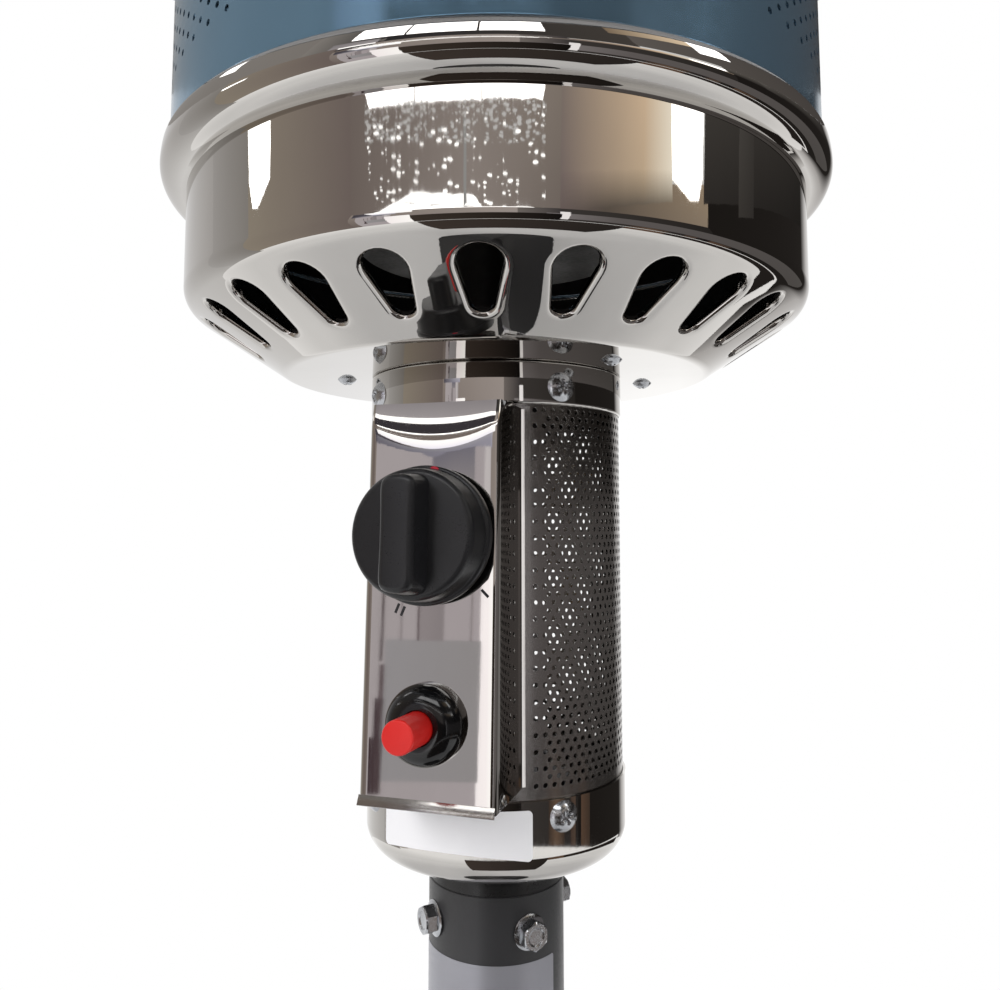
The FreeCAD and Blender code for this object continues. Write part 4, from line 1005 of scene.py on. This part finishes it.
# bow: how much the foot's edge rises in the middle
stickerSettings = {"azimuths": (-33.6, 31.6), "heights": (1645.4, 1663.6), "corner": 1.8, "thickness": 0.12,
                   "bow": 2.4, "steps": 36}
labelSettings = {"azimuths": (-65.0, 71.0), "heights": (1480.0, 1596.4), "corner": 1.0, "thickness": 0.12,
                 "bow": 0.0, "steps": 48}

wrappedPatch("blankSticker", stickerSettings, bellRadius, whiteVinyl, "gloss_black")
wrappedPatch("postLabel", labelSettings, lambda z: postSettings["radius"] + 0.02, silverLabel, "polished_steel")

# marks: a red pointer on the knob's skirt, and on the panel two bars where it points at high, one bar at low
marksSettings = {"pointer": (3.0, 1.5, 0.3), "pointerReach": 23.5, "pointerTurn": -10.0, "reach": 28.6,
                 "turns": ((157.0, 2), (226.0, 1)), "bar": (1.0, 3.6), "pitch": 2.4, "film": 0.05}


def makeMarks(s):
    onFace = onPanel(levels["knobAxis"])
    pointer = bmesh.new()
    bmesh.ops.create_cone(pointer, cap_ends=True, segments=32, radius1=0.5, radius2=0.5, depth=1.0)
    place = (onFace @ Matrix.Rotation(math.radians(s["pointerTurn"]), 4, "Z")
             @ Matrix.Translation((0, s["pointerReach"] * mm, (knobSettings["gap"] + knobSettings["skirtHeight"]) * mm))
             @ Matrix.Diagonal([size * mm for size in s["pointer"]] + [1]))
    newPiece("knobPointer", pointer, redInk, body="knob", slot="red_plastic", place=place)
    bars = bmesh.new()
    for turn, count in s["turns"]:
        for i in range(count):
            side = (i - (count - 1) / 2) * s["pitch"] * mm
            place = (Matrix.Rotation(math.radians(turn), 4, "Z")
                     @ Matrix.Translation((side, s["reach"] * mm, s["film"] / 2 * mm)))
            addBox(bars, place, (*s["bar"], s["film"]))
    newPiece("heatMarks", bars, blackInk, slot="black_paint", place=onFace)


makeMarks(marksSettings)
print("sticker, label and marks made")

# finishes of the CAD nodes that stay
kept = (
    (powderCoat, "base_pan wheel_bracket leg_back leg_left leg_right post_socket tank_housing housing_lid"),
    (zincSteel, "bracket_bolts wheel_axle leg_bolts reflector_studs wing_nuts"),
    (satinSteel, "mounting_plate screen_stays emitter_cap"),
    (dullSteel, "burner_foot burner_throat burner_head pilot_bracket"),
    (brass, "valve_spindle valve_plug gas_inlet injector thermocouple"),
    (satinAbs, "wheel_left wheel_right igniter_body igniter_ring_nut tilt_switch"),
    (castAlloy, "gas_valve"), (drawnAluminium, "gas_tube"), (ceramic, "spark_electrode"), (rubber, "foot_pads"),
)
for material, nodes in kept:
    for node in nodes.split():
        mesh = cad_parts[node].data
        if not mesh.materials:
            mesh.materials.append(material)
        for i in range(len(mesh.materials)):
            mesh.materials[i] = material
print("finishes given to the solids that stay")


# the room that the steel reflects, as patches of light round the heater's head. Each has its azimuths and elevations
# in degrees, the colours of its left and right ends, or one for both, and its strength if that isn't 1. Colours with a
# stroke between them are the low and the high edge's, and four azimuths are the low edge's two and the high edge's
# two. Later patches hang in front of earlier ones.
studioSettings = {
    # fades, by the distance in metres: from the pale floor to white, and from there to a brighter white in reflections
    "floorSize": 9.0, "floorTone": "#e9e9ea", "floorFade": (1.1, 2.1, 1.0), "farFade": (2.4, 4.2, 0.3),
    "radius": 4.0, "centre": 1.85, "worldLight": 0.55, "lampAim": 1.6,
    "room": {
        "ceilingLeft": ((-180, -20), (26.5, 80), "#a9a6a3 #9a9591"),
        "ceilingRight": ((-20, 180), (26.5, 80), "#8d8783 #3f3b39"),
        "filmShadeEdge": ((-44, -16), (23, 46), "#a39f9b #3b3a3c"),
        "lintel": ((-16, 60), (23, 46), "#3b3a3c #55504c"),
        "backFade": ((152, 160), (-27, 26.5), "#2c2927 #b8b6b5", 1.3),
        "backFade2": ((160, 184), (-27, 26.5), "#b8b6b5 #ffffff", 1.3),
        "paleWallBack": ((183.9, 211), (-27, 26.5), "#ffffff #ececed/#d6d6d7", 1.3),
        "paleWall": ((-150, -95), (-27, 26.5), "#ffffff/#e6e6e7 #d0cfce/#b9b6b4", 1.1),
        "greyWall": ((-95, -73), (-27, 26.5), "#d0cfce/#b9b6b4 #a39f9b"),
        "warmWall": ((-73, -30), (-24, 26.5), "#ada395 #8a7e7a"),
        "middleWall": ((-30, 24), (-24, 26.5), "#8a7e7a/#b6aba4 #c2b8b4"),
        "shade": ((24, 38), (-24, 26.5), "#8a8380 #4d494a"),
        "farShelves": ((-30, 10), (16.9, 20.0), "#8b807b #ada39e"),
        "farShelves2": ((10, 40), (16.9, 20.0), "#ada39e #857b76/#a0958c"),
        "lowDark": ((38, 92), (-24, 16.8), "#4a4644 #33302e"),
        "lampWallLow": ((38, 53), (16.2, 17.95), "#827573 #6f655d"),
        "lampWallLow2": ((53, 91), (16.2, 17.95), "#6f655d/#6f655d #a39585/#c0ab92"),
        "lampWall": ((38, 66), (17.9, 22), "#7e7270/#8f857c #cdb89d/#efd2b2", 1.38),
        "lampGlow": ((65.8, 76), (17.9, 22), "#cdb89d/#efd2b2 #fff6e4", 1.38),
        "lampFade": ((38, 53), (17.5, 18.3), "#706563/#7e7270 #5f5750/#ae9c8a", 1.38),
        "lampFade2": ((53, 66), (17.5, 18.3), "#5f5750/#ae9c8a #71685e/#cdb89d", 1.38),
        "lampFade3": ((66, 76.4), (17.5, 18.3), "#71685e/#cdb89d #8f8576/#fff6e4", 1.38),
        "darkDoor": ((90.8, 152), (-24, 18), "#262321 #2c2927"),
        "darkWall": ((89, 152), (17.4, 26.5), "#3d3a38/#706c67 #262422/#3a3735"),
        "greyPost": ((105, 113), (17.0, 26.5), "#4a4744/#726f6b #3f3c3a/#5c5955"),
        "sheetLight": ((33, 56), (-17.5, 1), "#9a9597 #777272"),
        "sheetMid": ((56, 150), (-17.5, 1), "#777272 #5f5c5a"),
        "sheetEdge": ((37.4, 40.6), (-19.4, 7), "#f0eef0", 1.6),
        "brownStripe": ((62, 69), (-24, -18.4), "#4c4039 #7a6453"),
        "brownStripe2": ((69, 77), (-24, -18.4), "#7a6453 #4a3f38"),
        "brownStripe3": ((83, 88), (-24, -18.4), "#574840 #66554a"),
        "brownStripe4": ((94, 104), (-24, -18.4), "#6b5546 #4f4239"),
        "windowLeft": ((-72.4, -62.2, -72.7, -61.2), (18.2, 20.4), "#ffffff", 4.0),
        "windowLeftLow": ((-70.6, -68.2, -72.4, -62.2), (17.3, 18.2), "#ffffff", 4.0),
        "windowRight": ((76.2, 88.2, 75.0, 88.6), (18.1, 21.5), "#fffaf2 #ffffff", 4.0),
        "windowRightLow": ((83.4, 86.8, 76.2, 88.2), (17.5, 18.1), "#fffaf2 #ffffff", 4.0),
        "tube1": ((-23.4, -8.4, -25.2, -8.4), (19.55, 20.0), "#ffffff", 4.0),
        "tube2": ((-8.1, 12.9), (19.58, 20.0), "#ffffff", 4.0),
        "tube3": ((13.2, 32, 13.2, 33.4), (19.6, 20.0), "#ffffff", 4.0),
        "lightTrough": ((-22.3, 29.5, -21.5, 29.3), (16.6, 17.34), "#ffffff", 4.0),
        "lightTrough2": ((-21.5, 29.3, -15.5, 28.2), (17.33, 17.62), "#ffffff", 3.0),
        "lightTrough3": ((-15.5, 13.5, -9.5, 10.5), (17.6, 17.88), "#ffffff", 2.6),
        "lightPillar": ((7.2, 8.2), (17.4, 19.3), "#ffffff", 0.45),
        "rimTube1": ((-28.5, -11.2), (35.6, 51.5), "#ffffff", 4.0),
        "rimTube2": ((-10.4, 11.4), (35.6, 51.5), "#ffffff", 4.0),
        "rimTube3": ((12.2, 32.5), (35.6, 51.5), "#ffffff", 4.0),
        "rimWarm": ((54, 85.5), (40, 51.5), "#8f7d69 #ffe8c8", 1.2),
        "rimLampRight": ((85.5, 99), (35.6, 51.5), "#ffffff", 4.0),
        "rimLampLeft": ((-88, -78), (35.6, 51.5), "#ffffff", 4.0),
        "panelTop": ((-34, -18), (27.0, 34), "#b9b4b8/#a8a3a8 #d0cbd0/#b4afb4"),
        "panelGlow": ((-30, -18), (24.4, 27.0), "#ffffff", 2.4),
        "panelShade": ((-30, -18), (20.0, 24.5), "#444146/#4c484e #4c484e"),
        "panelCard": ((-21.8, -9, -25.5, -9), (11.2, 16.6), "#e4e3f2/#ffffff #ffffff", 2.0),
        "panelDark": ((-29, -22.2, -29, -25.5), (11.2, 16.6), "#58545c #6a6670"),
        "panelBlue": ((-29, -14.2), (8.45, 11.3), "#6a6773/#55525f #c6c4d8/#eeedf8"),
        "panelWall": ((-27.5, -17.6), (-24, 8.5), "#d4cdd1 #cfc7cc"),
        "rimShade": ((-9.5, 38), (-24, -1.2), "#4a413b #1c1918"),
        "paleDoor": ((-17.7, -9.5), (-24, 1.3), "#f6f1f4 #ffffff", 1.8),
        "paleDoorTop": ((-17.7, -15.6), (1.3, 8.5), "#f6f1f4 #cfc9cc"),
        "panelDusk": ((-21.5, -18.4), (6.0, 8.5), "#b0aab0/#8e8b98 #aaa5aa/#908e9c"),
        "paperCard": ((-24.2, -17.6), (-14.2, -5.1), "#bcbabf #b4b1b4"),
        "darkJambLow": ((-25.15, -24.1), (-15, -11.5), "#4c3c42 #66565a"),
        "darkJamb": ((-24.75, -24.15), (-11.6, -9), "#54444a #66565a"),
        "darkJambTop": ((-24.5, -24.2), (-9.1, -6.8), "#66565a #7a696e"),
        "pole1": ((-24.55, -24.35), (-6.6, 3), "#6d6265"),
        "pole2": ((-23.2, -23.1), (-5.2, 3), "#83787c"),
        "pole3": ((-22.05, -21.85), (-5.2, 4), "#7c7074"),
        "greyDoor": ((-21.9, -20.2), (-5.2, 6), "#b5adb1 #aaa2a6"),
        "pole4": ((-18.35, -18.25), (-5.2, 3), "#8d8487"),
    },
    # things that stand dark on the floor, by azimuth and by their distance from the post in metres
    "mats": {
        "darkRug": ((-9, 62), (1.15, 3.95), "#4e4540 #332f2d"),
        "darkRugFar": ((58, 150), (3.1, 3.95), "#38322f #2c2826"),
        "brownRug": ((62, 77), (3.1, 3.95), "#6b5546 #765e4d"),
    },
}


def seenDirectly(tree):
    # 1 for what the camera sees, also by way of a reflection or through a clear thing; and 1 for reflections alone
    rays = addNode(tree, "LightPath").outputs
    seen = addNode(tree, "Math", {0: rays["Is Camera Ray"], 1: rays["Is Glossy Ray"]}, operation="MAXIMUM")
    return addNode(tree, "Math", {0: seen, 1: rays["Is Transmission Ray"]}, operation="MAXIMUM"), rays["Is Glossy Ray"]


def floorPaint(s):
    # pale and shadowed round the heater, and white like the background farther out
    material, tree = newMaterial("paleFloor")
    plain = addNode(tree, "BsdfPrincipled", {"Base Color": linearColour(s["floorTone"]), "Roughness": 0.9})
    where = addNode(tree, "TexCoord").outputs["Object"]
    reach = addNode(tree, "VectorMath", {0: where}, operation="LENGTH").outputs["Value"]
    near, far = [dict(zip(("From Min", "From Max", "To Max"), s[k]), Value=reach) for k in ("floorFade", "farFade")]
    fade = addNode(tree, "MapRange", near, interpolation_type="SMOOTHSTEP")
    seen, mirrored = seenDirectly(tree)
    share = addNode(tree, "Math", {0: fade, 1: seen}, operation="MULTIPLY")
    brighter = addNode(tree, "MapRange", far)
    strength = addNode(tree, "Math", {0: brighter, 1: mirrored, 2: 1.0}, operation="MULTIPLY_ADD")
    white = addNode(tree, "Emission", {"Color": (1, 1, 1, 1), "Strength": strength})
    addNode(tree, "OutputMaterial", {"Surface": addNode(tree, "MixShader", {0: share, 1: plain, 2: white})})
    return material


def stageMesh(name, verts, faces, material):
    mesh = bpy.data.meshes.new(name)
    mesh.from_pydata(verts, [], faces)
    mesh.materials.append(material)
    thing = bpy.data.objects.new(name, mesh)
    bpy.context.scene.collection.objects.link(thing)
    return thing


def reflectionOnly(name, verts, faces, material):
    # stands in the room but shows only in reflections
    thing = stageMesh(name, verts, faces, material)
    for rays in ("camera", "diffuse", "transmission", "volume_scatter", "shadow"):
        setattr(thing, "visible_" + rays, False)
    return thing.data


def patchGrid(azimuths, rise, place, up=6):
    # a grid of points over a range of azimuths and a second range, and how far along the two each lies
    low, high = azimuths[:2], azimuths[-2:]
    across = max(2, round((high[1] - high[0]) / 6))
    verts, shares = [], []
    for j in range(up + 1):
        v = rise[0] + (rise[1] - rise[0]) * j / up
        left, right = [a + (b - a) * j / up for a, b in zip(low, high)]
        for i in range(across + 1):
            verts.append(place(math.radians(left + (right - left) * i / across), v))
            shares.append((i / across, j / up))
    corners = [j * (across + 1) + i for j in range(up) for i in range(across)]
    return verts, shares, [(k, k + 1, k + across + 2, k + across + 1) for k in corners]


def onBall(s, radius):
    # from azimuth in radians and elevation in degrees to a point on a ball round the heater's head
    def place(a, v):
        out, up = radius * math.cos(math.radians(v)), radius * math.sin(math.radians(v))
        return out * math.sin(a), -out * math.cos(a), s["centre"] + up
    return place


def onFloor(height):
    # from azimuth in radians and distance from the post in metres to a point just above the floor
    return lambda a, v: (v * math.sin(a), -v * math.cos(a), height)


def makeRoom(s):
    verts, tones, faces = [], [], []
    patches = [(entry, onBall(s, s["radius"] - 0.01 * i)) for i, entry in enumerate(s["room"].values())]
    patches += [(entry, onFloor(0.004 * (i + 1))) for i, entry in enumerate(s["mats"].values())]
    for entry, place in patches:
        azimuths, rise, colours, strength = (entry + (1.0,))[:4]
        more, shares, quads = patchGrid(azimuths, rise, place)
        faces += [[len(verts) + k for k in quad] for quad in quads]
        verts += more
        left, right = [[[c * strength for c in linearColour(tone)[:3]] for tone in (code[:7], code[-7:])]
                       for code in (colours.split()[0], colours.split()[-1])]
        for share, height in shares:
            low, high = [[a + (b - a) * share for a, b in zip(left[k], right[k])] for k in (0, 1)]
            tones.append([a + (b - a) * height for a, b in zip(low, high)] + [1.0])
    material, tree = newMaterial("roomTones")
    tone = addNode(tree, "VertexColor", layer_name="tone")
    addNode(tree, "OutputMaterial", {"Surface": addNode(tree, "Emission", {"Color": tone, "Strength": 1.0})})
    mesh = reflectionOnly("studioRoom", verts, faces, material)
    layer = mesh.color_attributes.new("tone", "FLOAT_COLOR", "POINT")
    for i, tone in enumerate(tones):
        layer.data[i].color = tone


# spot: spacing of the lamps in metres, wide and flat because the cup's wall squeezes what it reflects sideways;
# patches: how often they gather in a metre; share: how rare they are
sparkleSettings = {
    "farLamps": {"azimuths": (-24, 33), "elevations": (17.3, 19.5), "spot": (0.1, 0.1, 0.0047), "size": 0.52,
                 "share": 0.29, "patches": (1.6, 1.6, 14.0), "strength": 2.4, "radius": 3.3},
    "lampHaze": {"azimuths": (-25, 33), "elevations": (18.85, 19.62), "spot": (0.075, 0.075, 0.0036), "size": 0.75,
                 "share": 0.15, "patches": (3.0, 3.0, 30.0), "strength": 0.85, "radius": 3.34},
}


def makeSparkles(name, s):
    # small lamps far off in the room, seen as a cluster of points in the cup's wall
    material, tree = newMaterial(name)
    where = addNode(tree, "TexCoord").outputs["Object"]
    close = addNode(tree, "Mapping", {"Vector": where, "Scale": [1 / size for size in s["spot"]]})
    broad = addNode(tree, "Mapping", {"Vector": where, "Scale": s["patches"]})
    cells = addNode(tree, "TexVoronoi", {"Vector": close, "Scale": 1.0, "Randomness": 0.85}).outputs
    patches = addNode(tree, "TexNoise", {"Vector": broad, "Scale": 1.0, "Detail": 2.0})
    tone = addNode(tree, "SeparateColor", {"Color": cells["Color"]}).outputs
    chance = addNode(tree, "Math", {0: tone["Red"], 1: patches}, operation="MULTIPLY")
    chosen = addNode(tree, "Math", {0: chance, 1: s["share"]}, operation="GREATER_THAN")
    size = addNode(tree, "Math", {0: tone["Green"], 1: s["size"]}, operation="MULTIPLY")
    near = addNode(tree, "Math", {0: cells["Distance"], 1: size}, operation="LESS_THAN")
    lit = addNode(tree, "Math", {0: near, 1: chosen}, operation="MULTIPLY")
    glow = addNode(tree, "Emission", {"Color": (1, 1, 1, 1), "Strength": s["strength"]})
    mix = addNode(tree, "MixShader", {0: lit, 1: addNode(tree, "BsdfTransparent"), 2: glow})
    addNode(tree, "OutputMaterial", {"Surface": mix})
    verts, _, faces = patchGrid(s["azimuths"], s["elevations"], onBall(studioSettings, s["radius"]))
    reflectionOnly("studio" + name[0].upper() + name[1:], verts, faces, material)


# place and size in metres, power in watts
lampSettings = {
    "keyLamp": ((-1.6, -2.2, 3.2), 1.6, 60), "fillLamp": ((2.4, -1.6, 1.9), 1.8, 15),
    "backLamp": ((0.6, 2.6, 2.8), 1.6, 40),
}


def makeStudio(s):
    scene = bpy.context.scene
    scene.view_settings.view_transform = "Standard"
    world = bpy.data.worlds.new("studioWorld")
    scene.world = world
    world.use_nodes = True
    tree = world.node_tree
    tree.nodes.clear()
    plain = addNode(tree, "Background", {"Color": (1, 1, 1, 1), "Strength": s["worldLight"]})
    white = addNode(tree, "Background", {"Color": (1, 1, 1, 1), "Strength": 1.0})
    mix = addNode(tree, "MixShader", {0: seenDirectly(tree)[0], 1: plain, 2: white})
    addNode(tree, "OutputWorld", {"Surface": mix})

    half = s["floorSize"] / 2
    corners = [(-half, -half, 0), (half, -half, 0), (half, half, 0), (-half, half, 0)]
    stageMesh("studioFloor", corners, [(0, 1, 2, 3)], floorPaint(s))
    makeRoom(s)
    for layer, settings in sparkleSettings.items():
        makeSparkles(layer, settings)
    for name, (place, size, power) in lampSettings.items():
        light = bpy.data.lights.new(name, "AREA")
        light.size = size
        light.energy = power
        lamp = bpy.data.objects.new(name, light)
        lamp.location = place
        lamp.rotation_euler = (Vector((0, 0, s["lampAim"])) - Vector(place)).to_track_quat("-Z", "Y").to_euler()
        lamp.visible_glossy = False       # the room's patches make the reflections
        scene.collection.objects.link(lamp)


makeStudio(studioSettings)

# the photo's size, focal length and optical centre are in its pixels
cameraSettings = {"distance": 384.2, "azimuth": 17.5, "height": 1770.0, "pitch": 5.16, "picture": (1000, 990),
                  "focal": 864.8, "centre": (496.3, 443.4)}


def makeCamera(s):
    data = bpy.data.cameras.new("photoCamera")
    camera = bpy.data.objects.new("photoCamera", data)
    bpy.context.scene.collection.objects.link(camera)
    turn, (width, height), (x, y) = math.radians(s["azimuth"]), s["picture"], s["centre"]
    camera.location = atPost(turn, s["distance"], s["height"])
    camera.rotation_euler = (math.radians(90 + s["pitch"]), 0, turn)
    data.sensor_width = 36.0
    data.lens = s["focal"] * data.sensor_width / width
    data.shift_x = (width / 2 - x) / width
    data.shift_y = (y - height / 2) / width
    data.clip_start = 0.01
    bpy.context.scene.camera = camera


makeCamera(cameraSettings)
print("studio and camera made")
